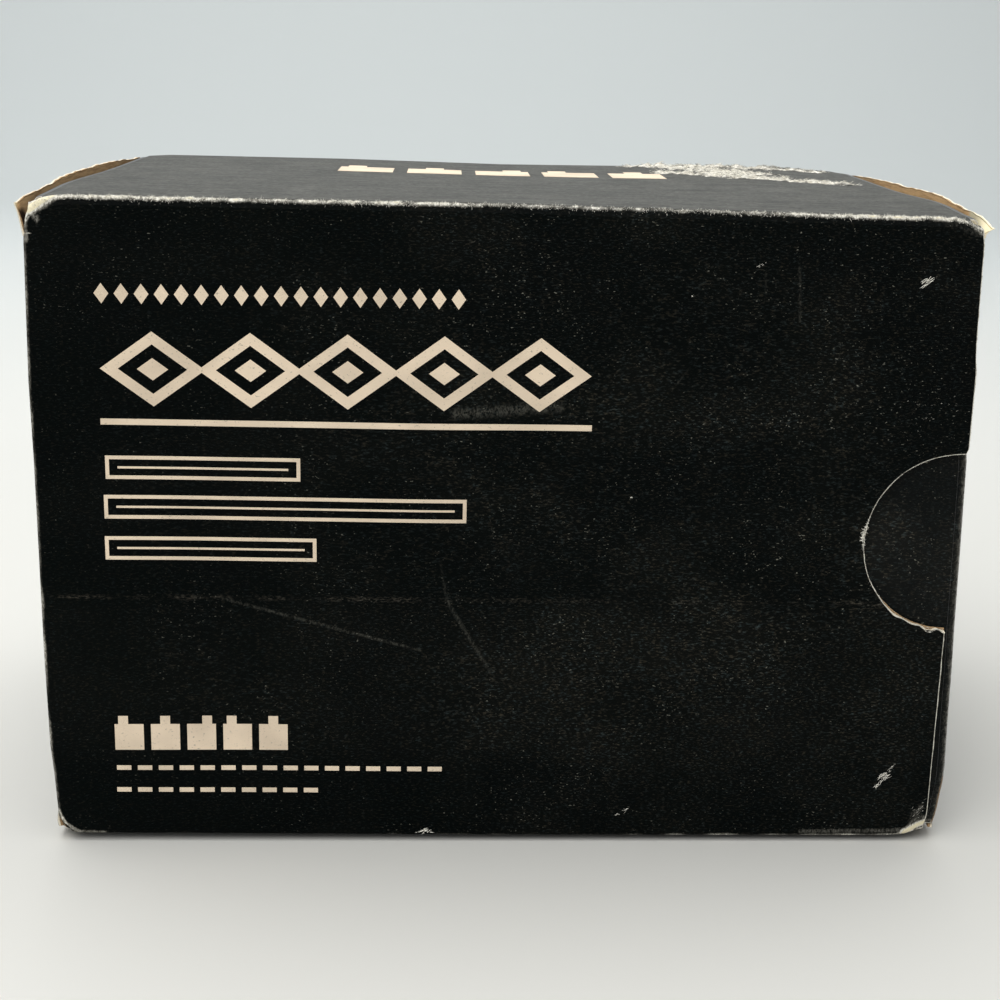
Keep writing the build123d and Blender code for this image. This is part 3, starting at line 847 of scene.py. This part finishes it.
def handled_closure(side):
    """How a closure's board lies: its top worn down to the rear, its front tip curled out."""
    def adjust(points):
        moved = points.copy()
        x, y, z = points[:, X], points[:, Y], points[:, Z]
        at_top = smooth(70.0, height, z)
        if side > 0:
            # Its tuck crease is sprung, its front tip curls out and its raw top is worn down.
            moved[:, X] += smooth(-18.0, -41.0, y) * np.interp(z, sprung_levels, sprung_out)
            tip_front = np.clip((-y - 36.5) / 5.6, 0, 1)
            tip_rise = np.clip((z - 97.3) / 1.9, 0, 1)
            tip = tip_front * tip_rise**1.4
            moved[:, X] += 1.7 * tip - 0.6 * tip * (x - inner_x - bow(y))
            lift = 0.45 * hill(y, -8.0, 14.0)
            moved[:, Z] -= (0.55 + 0.5 * smooth(18.0, 41.0, y) - lift) * at_top
            moved[:, Z] -= 0.8 * tip_front * tip_rise**3
        else:
            # Its front tips curl out at the top and, less, at the foot, and its raw top is worn down.
            tip = np.clip((-y - 37.0) / 5.6, 0, 1) * np.clip((z - 93.2) / 5.9, 0, 1) ** 1.3
            low_tip = smooth(-38.0, -42.8, y) * smooth(4.5, 0.8, z)
            moved[:, X] -= 2.0 * tip + 0.75 * low_tip + 0.5 * tip * (x + inner_x + bow(-y))
            dip = 0.38 * hill(y, -28.0, 13.0)
            moved[:, Z] -= (0.5 + 0.55 * smooth(18.0, 41.0, y) + dip) * at_top + 0.45 * tip
        moved[:, Z] += 0.06 * board_waves(points * (0, 9.0, 0)) * at_top
        return moved
    return adjust


def end_panel(side, side_name):
    """A bowed end panel between its hinge crease and its tuck crease."""
    low_y, high_y = tuck_fold_y + margin, inner_y - margin
    torn_steps = (torn_crease_from,) if side < 0 else ()
    steps = (tuck_low - tuck_slit / 2, tuck_high + tuck_slit / 2, *torn_steps)
    rows = with_steps(end_low + graded(end_high - end_low), *steps)
    past_tuck = (rows < steps[0]) | (rows > steps[1])
    past_hinge = (rows > torn_crease_from) if side < 0 else np.zeros(len(rows), bool)
    low = np.where(past_tuck, tuck_fold_y - board, low_y)
    high = np.where(past_hinge, inner_y + 0.6 * board, high_y)

    def place(column, row, level):
        return stacked(side * (inner_x + bow(column) + board * level), side * column, row)

    panel(f"{side_name}_end_panel", f"{side_name}_closure", rows, low, high, place, end_board,
          (True, side < 0, True, True), fold_sides=(True, True, False, False),
          adjust=handled_closure(side), coarse=1.2)


def tuck_flap(side, side_name):
    """The tuck flap, from its crease to its free edge with two large round corners."""
    corner_angles = np.linspace(0, math.pi / 2, 13)
    corner_rise = tuck_corner * (1 - np.cos(corner_angles))
    middle = tuck_low + tuck_corner + graded(tuck_high - tuck_low - 2 * tuck_corner, 0.5, 2.0)[1:-1]
    rows = np.concatenate((tuck_low + corner_rise, middle, tuck_high - corner_rise[::-1]))
    past_straight = np.maximum(tuck_low + tuck_corner - rows, rows - (tuck_high - tuck_corner))
    into_corner = np.clip(past_straight, 0.0, tuck_corner)
    free_edge = tuck_length - (tuck_corner - np.sqrt(tuck_corner**2 - into_corner**2))
    run = np.array((-math.cos(tuck_lean), math.sin(tuck_lean)))
    out = np.array((-math.sin(tuck_lean), -math.cos(tuck_lean)))

    def place(column, row, level):
        x = inner_x + column * run[0] + board * level * out[0]
        y = tuck_fold_y + column * run[1] + board * level * out[1]
        return stacked(side * x, side * y, row)

    panel(f"{side_name}_tuck_flap", f"{side_name}_tuck", rows, margin, free_edge, place, black_board,
          (False, True, True, True), adjust=handled_closure(side), coarse=1.6)


def dust_flap(side, side_name, way, way_name):
    """A dust flap, seen down from its crease. Its sides taper and its free corners are round."""
    length = height - board - dust_tip
    corner_angles = np.linspace(0, math.pi / 2, 11)
    straight = margin + graded(length - dust_corner - margin, 0.2, 1.6)
    rows = np.concatenate((straight, length - dust_corner + dust_corner * np.sin(corner_angles[1:])))
    into_corner = np.clip(rows - (length - dust_corner), 0, None)
    rounding = dust_corner - np.sqrt(np.clip(dust_corner**2 - into_corner**2, 0, None))
    low = dust_front_root + rows * math.tan(dust_front_taper) + rounding
    high = dust_back_root - rows * math.tan(dust_back_taper) - rounding

    def place(column, row, level):
        z = mid_height + way * (mid_height - board - row)
        return stacked(side * (dust_inner_x + board * level), side * column, z)

    panel(f"{side_name}_{way_name}_dust_flap", f"{side_name}_{way_name}_dust", rows, low, high, place,
          black_board, (True, True, False, True), coarse=1.6)


upright_panel(1, "front_panel", height, front_board)
upright_panel(-1, "back_panel", back_top, black_board)
top_panel()
bottom_panel()
glue_flap()


# ---------------------------------------------------------------- crease strips
def strip_place(corner, first, second, run_axis, run_sign, extra):
    """Where a crease strip's points are. corner is the fold's inner corner in the plane square to it.

    first and second are unit vectors from the corner along the two panels.
    """
    first, second, corner = (np.array(v, float) for v in (first, second, corner))
    others = [axis for axis in (X, Y, Z) if axis != run_axis]

    def place(column, row, level):
        angle = np.clip((row - margin) / board, 0, math.pi / 2)
        before = np.clip(margin - row, 0, None)
        after = np.clip(row - margin - bend_run, 0, None)
        outer = corner + before[:, None] * first + after[:, None] * second
        outer = outer - board * (np.cos(angle)[:, None] * second + np.sin(angle)[:, None] * first)
        past = 2 * margin * row / strip_run - margin
        root = np.sqrt(past**2 + 0.03)
        inner = corner + ((root - past) / 2)[:, None] * first + ((root + past) / 2)[:, None] * second
        flat = inner + (outer - inner) * np.asarray(level)[:, None]
        points = np.zeros((len(row), 3))
        points[:, others[0]], points[:, others[1]] = flat[:, 0], flat[:, 1]
        points[:, run_axis] = run_sign * column
        return extra(points) if extra else points

    return place


def point_3d(run_axis, corner, way):
    """The end of a strip's flat margin along one of its panels, in metres."""
    flat = [c + margin * d for c, d in zip(corner, way)]
    flat.insert(run_axis, 0.0)
    return [v * MM for v in flat]


def crease_strip(name, fold, low, high, bodies=None, material=black_board, run_sign=1.0, extra=None,
                 adjust=None, coarse=0.5):
    """The strip at one fold. It rides on the carton if no bodies are given; otherwise it rides on no body.
    """
    flat_rows = np.linspace(0, margin, 5)
    bend_rows = margin + np.linspace(0, bend_run, 11)
    rows = np.concatenate((flat_rows[:-1], bend_rows, margin + bend_run + flat_rows[1:]))

    def to_bend(column, row):
        return np.abs(row - crease_offset)

    piece = slab(name, rows, low, high, strip_place(*fold, run_sign, extra), material,
                 (True, True, False, False), fold_distance=to_bend, adjust=adjust, coarse=coarse)
    if bodies is None:
        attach(piece, "carton")
    else:
        corner, first, second, run_axis = fold
        start, end = (point_3d(run_axis, corner, way) for way in (first, second))
        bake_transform(piece)
        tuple(start)
        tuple(end)


def fixed_creases():
    reach = inner_x - margin
    torn_end = -half_length + 0.2
    for name, corner, first, second, low, high, material in (
        ("front_top", (-inner_y, height - board), (0, -1), (1, 0), torn_end, cut_edge, front_top_board),
        ("front_bottom", (-inner_y, board), (0, 1), (1, 0), -reach, cut_edge, front_board),
        ("back_bottom", (inner_y, board), (0, 1), (-1, 0), -cut_edge, reach, black_board),
        ("back_top", (inner_y, back_top - board), (0, -1), (-1, 0), -cut_edge, reach, black_board),
    ):
        crease_strip(f"{name}_crease", (corner, first, second, X), low, high, material=material)


def bowed(side):
    """Moves a strip's points out onto the bow of its end panel."""
    def extra(points):
        moved = points.copy()
        inside = (side * points[:, Y] < inner_y) & (side * points[:, Y] > tuck_fold_y)
        moved[:, X] += side * np.where(inside, bow(side * points[:, Y]), 0.0)
        return moved
    return extra


def closure_creases(side, side_name):
    """The strips at one end closure's creases: to its panel, to its tuck flap and to its dust flaps."""
    closure = f"{side_name}_closure"
    hinge = ((side * inner_x, side * inner_y), (-side, 0), (0, -side), Z)
    hinge_top = height - 0.1 if side > 0 else torn_crease_from
    crease_strip(f"{side_name}_hinge_crease", hinge, end_low, hinge_top, ("carton", closure),
                 end_board if side > 0 else front_board, extra=bowed(side))
    tuck = ((side * inner_x, side * tuck_fold_y), (0, side), (-side, 0), Z)
    crease_strip(f"{side_name}_tuck_crease", tuck, tuck_low, tuck_high, (closure, f"{side_name}_tuck"),
                 extra=bowed(side), adjust=handled_closure(side))
    for way, way_name in ((1, "upper"), (-1, "lower")):
        level = mid_height + way * (mid_height - board)
        dust = ((side * dust_inner_x, level), (-side, 0), (0, -way), Y)
        crease_strip(f"{side_name}_{way_name}_dust_crease", dust, dust_front_root, dust_back_root,
                     ("carton", f"{side_name}_{way_name}_dust"), run_sign=side, coarse=0.9)


fixed_creases()
for side, side_name in ((1, "right"), (-1, "left")):
    end_panel(side, side_name)
    tuck_flap(side, side_name)
    for way, way_name in ((1, "upper"), (-1, "lower")):
        dust_flap(side, side_name, way, way_name)
    closure_creases(side, side_name)


# ---------------------------------------------------------------- print: plain shapes, raised by a hair
def print_material():
    """Cream print with small worn pores and faint stains."""
    shader = Shader("cream_print")
    pores = shader.noise((2.2, 2.2, 3.0), 3.0, 0.7)
    stain = shader.noise((0.09, 0.09, 0.12), 2.0)
    colour = stain.between(0.35, 0.7).mix(print_cream, shaded(print_cream, 0.82))
    colour = pores.between(0.6, 0.72, 0.0, 0.6).mix(colour, ink_speck)
    return shader.finish(colour, 0.62, shader.relief(pores * 0.02), specular_ior_level=0.2)


cream_print = print_material()
print_rise = 0.03
print_root = 0.08


def ribbon(path, width, closed=False, step=1.4):
    """A flat mitred band along a path in a plane: its points in four rows, and its faces."""
    path = [np.array(p, float) for p in path]
    ends = path[1:] + path[:1] if closed else path[1:]
    middle = []
    for start, end in zip(path, ends):
        count = max(1, math.ceil(np.linalg.norm(end - start) / step))
        middle += [start + (end - start) * k / count for k in range(count)]
    if not closed:
        middle.append(path[-1])
    middle = np.array(middle)
    ahead = np.roll(middle, -1, axis=0) - middle
    if not closed:
        ahead[-1] = ahead[-2]
    ahead /= np.linalg.norm(ahead, axis=1)[:, None]
    behind = np.roll(ahead, 1, axis=0)
    if not closed:
        behind[0] = ahead[0]
    square_on = stacked(-(ahead + behind)[:, 1], (ahead + behind)[:, 0])
    square_on /= (square_on**2).sum(axis=1)[:, None] / 2
    offset = square_on * width / 2
    count = len(middle)
    flat = np.concatenate((middle + offset, middle - offset, middle - offset, middle + offset))
    faces = []
    for k in range(count if closed else count - 1):
        following = (k + 1) % count
        for row in range(4):
            across = (row + 1) % 4
            start_row, end_row = row * count, across * count
            faces.append((start_row + k, start_row + following, end_row + following, end_row + k))
    if not closed:
        faces.append((0, count, 2 * count, 3 * count))
        faces.append((4 * count - 1, 3 * count - 1, 2 * count - 1, count - 1))
    return flat, faces


def print_piece(name, bands, on_top=False):
    """One printed area, made of bands, on the front or on the top panel."""
    points, faces = [], []
    for flat, band_faces in bands:
        base = sum(len(block) for block in points)
        raised = np.repeat((1.0, 0.0), len(flat) // 2)
        out = raised * (print_rise + print_root) - print_root
        if on_top:
            block = stacked(flat[:, 0], flat[:, 1], height + out + 0.03 * raised)
        else:
            block = stacked(flat[:, 0], -half_depth - out, flat[:, 1])
        points.append(block)
        faces += [tuple(base + corner for corner in face) for face in band_faces]
    piece = new_piece(name, settled(np.concatenate(points)), faces, cream_print)
    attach(piece, "carton")


def card_icons(left, low, width, tall, gap, count=5):
    """A row of plain solid index cards with staggered tabs."""
    bands = []
    for k in range(count):
        start = left + k * (width + gap)
        body, tab_tall, half_tab = 0.76 * tall, 0.24 * tall, 0.17 * width
        tab = start + (0.3 + 0.2 * (k % 3)) * width
        tab_level = low + 0.88 * tall
        bands.append(ribbon(((start, low + body / 2), (start + width, low + body / 2)), body))
        bands.append(ribbon(((tab - half_tab, tab_level), (tab + half_tab, tab_level)), tab_tall))
    return bands


def entry_field(left, right, low, high, stroke=0.55):
    """A long blank field with a ruled line in it."""
    frame_path = ((left, low), (right, low), (right, high), (left, high))
    middle = (low + high) / 2
    ruled_path = ((left + 1.5, middle), (right - 1.5, middle))
    return [ribbon(frame_path, stroke, closed=True), ribbon(ruled_path, 0.6 * stroke)]


def dashes(left, right, level, length=2.2, gap=1.0, thickness=0.75):
    starts = np.arange(left, right - length, length + gap)
    return [ribbon(((start, level), (start + length, level)), thickness) for start in starts]


def diamond_outlines(left, right, level, tall, count, stroke):
    """A row of large diamond outlines, each with a small solid one inside."""
    wide = (right - left) / (count + (count - 1) * 0.12)
    bands = []
    for k in range(count):
        middle = left + wide / 2 + k * 1.12 * wide
        left_tip, right_tip = (middle - wide / 2, level), (middle + wide / 2, level)
        ring = (left_tip, (middle, level + tall / 2), right_tip, (middle, level - tall / 2))
        bands.append(ribbon(ring, stroke, closed=True))
        bands.append(lozenge(middle, level, 0.36 * wide, 0.36 * tall))
    return bands


def lozenge(middle, level, wide, tall):
    """A solid diamond, as four rows of points like a ribbon's."""
    corners = np.array(((-0.5, 0.0), (0.0, 0.5), (0.5, 0.0), (0.0, -0.5))) * (wide, tall) + (middle, level)
    faces = [(0, 1, 2, 3), (7, 6, 5, 4)] + [(k, k + 4, (k + 1) % 4 + 4, (k + 1) % 4) for k in range(4)]
    return np.concatenate((corners, corners)), faces


def diamonds(left, right, level, wide, tall, count):
    middles = np.linspace(left + wide / 2, right - wide / 2, count)
    return [lozenge(middle, level, wide, tall) for middle in middles]


small_diamonds = diamonds(left=-60.1, right=-6.8, level=84.8, wide=2.1, tall=2.9, count=19)
large_diamonds = diamond_outlines(left=-58.4, right=10.6, level=74.1, tall=9.0, count=5, stroke=1.5)
front_cards = card_icons(left=-59.7, low=14.4, width=4.4, tall=5.6, gap=1.1)
top_cards = card_icons(left=-29.0, low=12.0, width=9.6, tall=13.6, gap=2.5)
print_piece("print_diamonds", small_diamonds)
print_piece("print_diamond_row", large_diamonds)
print_piece("print_rule", [ribbon(((-59.9, 66.35), (12.2, 66.35)), width=0.9)])
print_piece("print_field_1", entry_field(left=-59.2, right=-31.2, low=58.0, high=61.0))
print_piece("print_field_2", entry_field(left=-59.6, right=-6.5, low=51.9, high=55.0))
print_piece("print_field_3", entry_field(left=-59.7, right=-28.9, low=45.5, high=48.6))
print_piece("print_cards", front_cards)
print_piece("print_dashes_1", dashes(left=-59.6, right=-7.8, level=11.4))
print_piece("print_dashes_2", dashes(left=-59.7, right=-27.3, level=7.7))
print_piece("print_top_cards", top_cards, on_top=True)


# ---------------------------------------------------------------- loose paper fibres
def strands(name, roots, directions, lengths, widths, shades, rng):
    """Short tapered paper fibres. Each is a closed three sided spike with one bend in it."""
    directions = directions / np.linalg.norm(directions, axis=1)[:, None]
    across = np.cross(directions, rng.normal(size=roots.shape))
    across /= np.linalg.norm(across, axis=1)[:, None]
    third = np.cross(directions, across)
    bend = rng.normal(0, 0.16, roots.shape) * lengths[:, None]
    rings = []
    for share, size in ((0.0, 0.5), (0.5, 0.42)):
        centre = roots + directions * (lengths * share)[:, None] + bend * share
        for corner in range(3):
            angle = corner * 2 * math.pi / 3
            outward = across * math.cos(angle) + third * math.sin(angle)
            rings.append(centre + outward * (widths * size)[:, None])
    rings.append(roots + directions * lengths[:, None] + bend * 0.4)
    points = np.stack(rings, axis=1).reshape(-1, 3)
    pattern = ((0, 2, 1), (0, 1, 4, 3), (1, 2, 5, 4), (2, 0, 3, 5), (3, 4, 6), (4, 5, 6), (5, 3, 6))
    faces = [tuple(7 * k + corner for corner in face) for k in range(len(roots)) for face in pattern]
    piece = new_piece(name, points, faces, paper_fibre, {"shade": np.repeat(shades, 7)}, sharp_deg=80.0)
    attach(piece, "carton")


def fibre_material():
    """White to grey paper fibre, by each fibre's own shade."""
    shader = Shader("paper_fibre")
    shade = shader.attribute("shade") + (shader.noise(1.6, 2.0) - 0.5) * 0.5
    colour = shade.between(0.0, 1.0).mix(srgb(88, 87, 80), srgb(248, 244, 232))
    return shader.finish(colour, 0.8, specular_ior_level=0.2)


paper_fibre = fibre_material()


def crease_fibres():
    """Frayed liner along the front's top crease: hairs on the bend, and greyer ones that hang below it."""
    rng = np.random.default_rng(31)
    tried = rng.uniform(-68.6, 68.4, 5200)
    x = tried[rng.random(len(tried)) < 0.8 * np.interp(tried, top_wear_x, top_wear) ** 2]
    count = len(x)
    turn = rng.beta(2.2, 2.0, count) * 1.6 - 0.1
    hang = rng.exponential(0.22, count) * (rng.random(count) < 0.07)
    out = stacked(0.0, -np.cos(turn), np.sin(turn))
    along = stacked(0.0, np.sin(turn), np.cos(turn))
    roots = stacked(x, -inner_y, height - board) + board * out - stacked(0.0, 0.0, hang)
    spread = rng.normal(0, 0.9, count) - 1.6 * (hang > 0)
    directions = 0.4 * out + along * spread[:, None] + stacked(rng.normal(0, 0.5, count), 0.0, 0.0)
    lengths = np.clip(rng.lognormal(-1.45, 0.4, count), 0.1, 0.55)
    shades = np.clip(rng.normal(0.85, 0.25, count) - 0.9 * np.clip(hang / 0.7, 0, 0.8), 0, 1.2)
    widths = rng.uniform(0.035, 0.06, count)
    strands("crease_fibres", settled(roots), directions, lengths, widths, shades, rng)


def torn_fibres():
    """Fibres pulled up where the top's liner is torn, and along its raw back edge."""
    rng = np.random.default_rng(32)
    tried_count, kept_count, edge_count = 14000, 3400, 900
    tried = stacked(rng.uniform(22, 69, tried_count), rng.uniform(2, half_depth, tried_count), height)
    kept = tried[torn_amount(tried) > rng.uniform(0.15, 1.1, tried_count)][:kept_count]
    edge_x = 29 + 34 * rng.beta(1.3, 1.5, edge_count)
    edge = stacked(edge_x, half_depth - rng.uniform(0, 0.3, edge_count), height)
    roots = np.concatenate((kept, edge))
    count = len(roots)
    at_edge = np.arange(count) >= len(kept)
    directions = stacked(
        rng.choice((-1.0, 1.0), count) * rng.uniform(0.4, 1.0, count),
        rng.normal(0, 0.35, count) + 0.2 * at_edge,
        np.abs(rng.normal(0, 0.2, count)) + 0.02 + 0.3 * at_edge,
    )
    lengths = np.clip(rng.lognormal(-0.5, 0.45, count), 0.25, 1.5) * np.where(at_edge, 0.42, 1.0)
    shades = np.clip(rng.normal(0.7, 0.3, count) - 0.2 * at_edge, 0, 1.2)
    widths = rng.uniform(0.05, 0.1, count) * np.where(at_edge, 0.6, 1.0)
    strands("torn_fibres", settled(torn_relief(roots)), directions, lengths, widths, shades, rng)


# Scuffs on the front: centre, direction, spread along and across it, fibre length, count and shade.
front_scuffs = (
    ((60.6, 89.0), (1.0, 0.8), 0.5, 0.3, 0.8, 34, 0.9),
    ((61.0, 10.4), (1.0, 0.6), 0.36, 0.36, 0.55, 46, 0.95),
    ((60.1, 9.1), (1.0, 1.2), 0.42, 0.08, 0.6, 20, 0.8),
    ((62.1, 12.0), (1.0, 1.2), 0.5, 0.07, 0.55, 14, 0.45),
    ((-11.9, 0.9), (1.0, 0.2), 0.5, 0.2, 0.6, 30, 0.9),
    ((19.7, 4.5), (1.0, 0.4), 0.2, 0.12, 0.4, 8, 0.5),
    ((18.5, 3.8), (1.0, 0.3), 0.2, 0.12, 0.4, 8, 0.5),
    ((26.3, 86.1), (1.0, 0.0), 0.1, 0.1, 0.3, 5, 0.8),
    ((35.9, 90.8), (1.0, 0.6), 0.3, 0.1, 0.4, 9, 0.5),
    ((18.5, 55.8), (1.0, 0.0), 0.1, 0.1, 0.3, 5, 0.8),
    ((63.0, 70.0), (1.0, 0.2), 1.6, 1.2, 0.35, 22, 0.2),
    ((67.0, 4.4), (1.0, 1.0), 0.9, 0.6, 0.5, 24, 0.35),
)


def face_fibres():
    """Fibres that lie on the front: its scuffs and the frayed rim of the thumb notch."""
    rng = np.random.default_rng(33)
    roots, directions, lengths, shades = [], [], [], []
    for centre, way, along, across, length, count, shade in front_scuffs:
        way = np.array(way) / np.hypot(*way)
        square_on = way[::-1] * (-1, 1)
        offsets = rng.normal(0, along, (count, 1)) * way + rng.normal(0, across, (count, 1)) * square_on
        spots = np.array(centre) + offsets
        roots.append(stacked(spots[:, 0], -half_depth - 0.02, spots[:, 1]))
        tilt = rng.normal(0, 0.3, (count, 2)) + way * rng.choice((-1.0, 1.0), (count, 1))
        directions.append(stacked(tilt[:, 0], -np.abs(rng.normal(0, 0.1, count)), tilt[:, 1]))
        lengths.append(length * rng.uniform(0.4, 1.2, count))
        shades.append(np.clip(rng.normal(shade, 0.15, count), 0, 1.2))
    count, nick_count, nick_turn = 260, 90, 0.08
    spread_out = rng.uniform(-math.pi / 2, math.pi / 2, count - nick_count)
    turn = np.concatenate((spread_out, rng.normal(nick_turn, 0.11, nick_count)))
    nick = hill(turn, nick_turn, 0.14)
    inward = stacked(-np.cos(turn), 0.0, np.sin(turn))
    from_centre = notch_radius + 0.05 + 0.35 * (nick * rng.random(count))[:, None]
    roots.append(stacked(cut_edge, -half_depth, mid_height) + inward * from_centre)
    reach_in = inward * rng.normal(0.3, 0.7, (count, 1))
    directions.append(reach_in + stacked(rng.normal(0, 0.5, count), -0.15, rng.normal(0, 0.5, count)))
    lengths.append((0.14 + 0.4 * nick) * rng.uniform(0.5, 1.4, count))
    shades.append(np.clip(0.55 + 0.4 * nick + rng.normal(0, 0.2, count), 0, 1.2))
    roots, directions, lengths, shades = (np.concatenate(v) for v in (roots, directions, lengths, shades))
    widths = rng.uniform(0.05, 0.11, len(roots))
    strands("face_fibres", settled(roots), directions, lengths, widths, shades, rng)


crease_fibres()
torn_fibres()
face_fibres()


# ---------------------------------------------------------------- what the carton holds
def enamel_material():
    """Plain satin enamel with soft mottling, fine rub marks and slight waviness."""
    shader = Shader("tin_enamel")
    cloud = shader.noise(0.04, 3.0)
    rubs = shader.noise((0.2, 0.2, 3.0), 3.0, 0.7)
    colour = cloud.between(0.3, 0.7).mix((0.62, 0.52, 0.34), (0.55, 0.45, 0.28))
    colour = shader.noise(1.1, 2.0).between(0.72, 0.78, 0.0, 0.5).mix(colour, (0.25, 0.18, 0.1))
    roughness = rubs.between(0.35, 0.7, 0.3, 0.44)
    return shader.finish(colour, roughness, shader.relief(cloud * 0.12 + rubs * 0.004))


def metal_material(name, colour, grain_scale, smoothest, roughest):
    """Bare metal with a drawn grain and faint staining."""
    shader = Shader(name)
    grain = shader.noise(grain_scale, 3.0, 0.7)
    shade = shader.noise(0.12, 3.0).between(0.35, 0.7).mix(colour, shaded(colour, 0.72))
    roughness = grain.between(0.3, 0.7, smoothest, roughest)
    return shader.finish(shade, roughness, shader.relief(grain * 0.006), metallic=1.0)


def paper_material(name, colour, grain_scale, relief_mm):
    """Uncoated card with pulp mottling, flecks and a soft grain."""
    shader = Shader(name)
    grain = shader.noise(grain_scale, 3.0, 0.6)
    flecks = shader.noise((1.6, 1.6, 3.0), 2.0)
    shade = shader.noise(0.7, 4.0, 0.7).between(0.35, 0.7).mix(colour, shaded(colour, 0.86))
    shade = grain.between(0.45, 0.75, 0.0, 0.35).mix(shade, shaded(colour, 0.6))
    shade = flecks.between(0.7, 0.76, 0.0, 0.6).mix(shade, (0.3, 0.2, 0.12))
    return shader.finish(shade, 0.78, shader.relief(grain * relief_mm))


enamel = enamel_material()
tin_plate = metal_material("tin_plate", (0.62, 0.62, 0.6), grain_scale=(0.1, 2.0, 0.1), smoothest=0.28,
                           roughest=0.42)
hinge_wire = metal_material("hinge_wire", (0.5, 0.5, 0.5), grain_scale=(0.1, 4.0, 4.0), smoothest=0.3,
                            roughest=0.45)
card_stock = paper_material("card_stock", (0.86, 0.84, 0.78), grain_scale=(0.05, 5.0, 0.05),
                            relief_mm=0.05)
divider_stock = paper_material("divider_stock", (0.72, 0.6, 0.4), grain_scale=(0.9, 0.9, 0.3),
                               relief_mm=0.01)
contents = {
    "tin_body": enamel,
    "tin_lid": enamel,
    "tin_bottom": tin_plate,
    "tin_hinge_pins": hinge_wire,
    "blank_card_packs": card_stock,
}
for number in range(1, 9):
    contents[f"divider_{number}"] = divider_stock
for node_name, material in contents.items():
    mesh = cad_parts[node_name].data
    mesh.materials.clear()
    mesh.materials.append(material)


# ---------------------------------------------------------------- stage, camera and lights
def floor_material(name, colour, rear_lit_colour):
    """Pale and matt, with a faint unevenness. Further back it turns to its brighter, cooler rear colour: a
    painted change of light.
    """
    shader = Shader(name)
    soft = shader.noise((0.004, 0.004, 0.004), 2.0)
    shade = soft.between(0.3, 0.7).mix(shaded(colour, 0.97), colour)
    shade = shader.spot.axis(Y).between(0.0, 900.0).mix(shade, rear_lit_colour)
    return shader.finish(shade, 0.75)


def backdrop():
    """A pale floor that curves up into a wall behind."""
    level, depth, width, turn, wall, turn_steps = -bottom_sag, 1300.0, 2200.0, 400.0, 1500.0, 12
    profile = [(-depth, level), (-300.0, level), (0.0, level), (depth - turn, level)]
    for step in range(1, turn_steps + 1):
        angle = step / turn_steps * math.pi / 2
        profile.append((depth - turn + turn * math.sin(angle), level + turn - turn * math.cos(angle)))
    profile.append((depth, wall))
    points = [(x, y, z) for y, z in profile for x in (-width, width)]
    faces = [(2 * k, 2 * k + 1, 2 * k + 3, 2 * k + 2) for k in range(len(profile) - 1)]
    # The rear colour is brighter and cooler: painted light.
    pale_floor = floor_material("pale_floor", srgb(216, 215, 209), srgb(227, 232, 231))
    piece = new_piece("studio_floor", points, faces, pale_floor)


def placed(name, data, place, right, up, ahead):
    """A camera or a light at a place in metres, given by its own right, up and ahead directions."""
    made = bpy.data.objects.new(name, data)
    bpy.context.scene.collection.objects.link(made)
    rotation = Matrix([[right[k], up[k], -ahead[k]] for k in range(3)]).to_4x4()
    made.matrix_world = Matrix.Translation(place) @ rotation
    return made


def photo_camera():
    """The camera of the photograph, worked out from the carton's corners in its 1000 pixel frame."""
    frame_pixels = 1000.0
    focal_pixels = 1606.7
    centre_pixels = (533.1, 462.8)
    place = (-9.53, -274.38, 121.96)
    yaw, pitch, roll = (math.radians(v) for v in (3.243, 14.723, 1.601))
    ahead = np.array((math.sin(yaw) * math.cos(pitch), math.cos(yaw) * math.cos(pitch), -math.sin(pitch)))
    level_right = np.array((math.cos(yaw), -math.sin(yaw), 0.0))
    level_up = np.cross(level_right, ahead)
    right = level_right * math.cos(roll) + level_up * math.sin(roll)
    up = level_up * math.cos(roll) - level_right * math.sin(roll)
    data = bpy.data.cameras.new("photo_camera")
    data.sensor_width = 36.0
    data.lens = focal_pixels * data.sensor_width / frame_pixels
    data.shift_x = (frame_pixels / 2 - centre_pixels[0]) / frame_pixels
    data.shift_y = (centre_pixels[1] - frame_pixels / 2) / frame_pixels
    data.clip_start, data.clip_end = 0.01, 20.0
    place = [v * MM for v in place]
    bpy.context.scene.camera = placed("photo_camera", data, place, right, up, ahead)


def soft_light(name, place, aim, size, power):
    """A soft white area light at a place, turned to its aim. Both are in metres."""
    data = bpy.data.lights.new(name, "AREA")
    data.shape = "RECTANGLE"
    data.size, data.size_y = size
    data.energy = power
    ahead = np.array(aim, float) - np.array(place, float)
    ahead /= np.linalg.norm(ahead)
    side = np.cross(ahead, (0.0, 0.0, 1.0))
    side /= np.linalg.norm(side)
    placed(name, data, place, side, np.cross(side, ahead), ahead)


def studio_lights():
    soft_light("top_softbox", place=(-0.1, 0.1, 0.9), aim=(0.0, 0.05, 0.0), size=(1.1, 0.9), power=8.6)
    soft_light("front_softbox", place=(-0.35, -0.8, 0.95), aim=(0.0, -0.15, 0.0), size=(0.8, 0.6), power=4.6)
    soft_light("back_softbox", place=(-0.8, 0.3, 0.8), aim=(-0.2, 0.1, 0.0), size=(0.8, 0.8), power=1.0)
    world = bpy.data.worlds.new("studio_world")
    world.use_nodes = True
    background = world.node_tree.nodes["Background"]
    background.inputs["Color"].default_value = (0.96, 0.98, 1.0, 1.0)
    background.inputs["Strength"].default_value = 0.4
    bpy.context.scene.world = world


backdrop()
photo_camera()
studio_lights()
bpy.context.scene.view_settings.view_transform = "Standard"
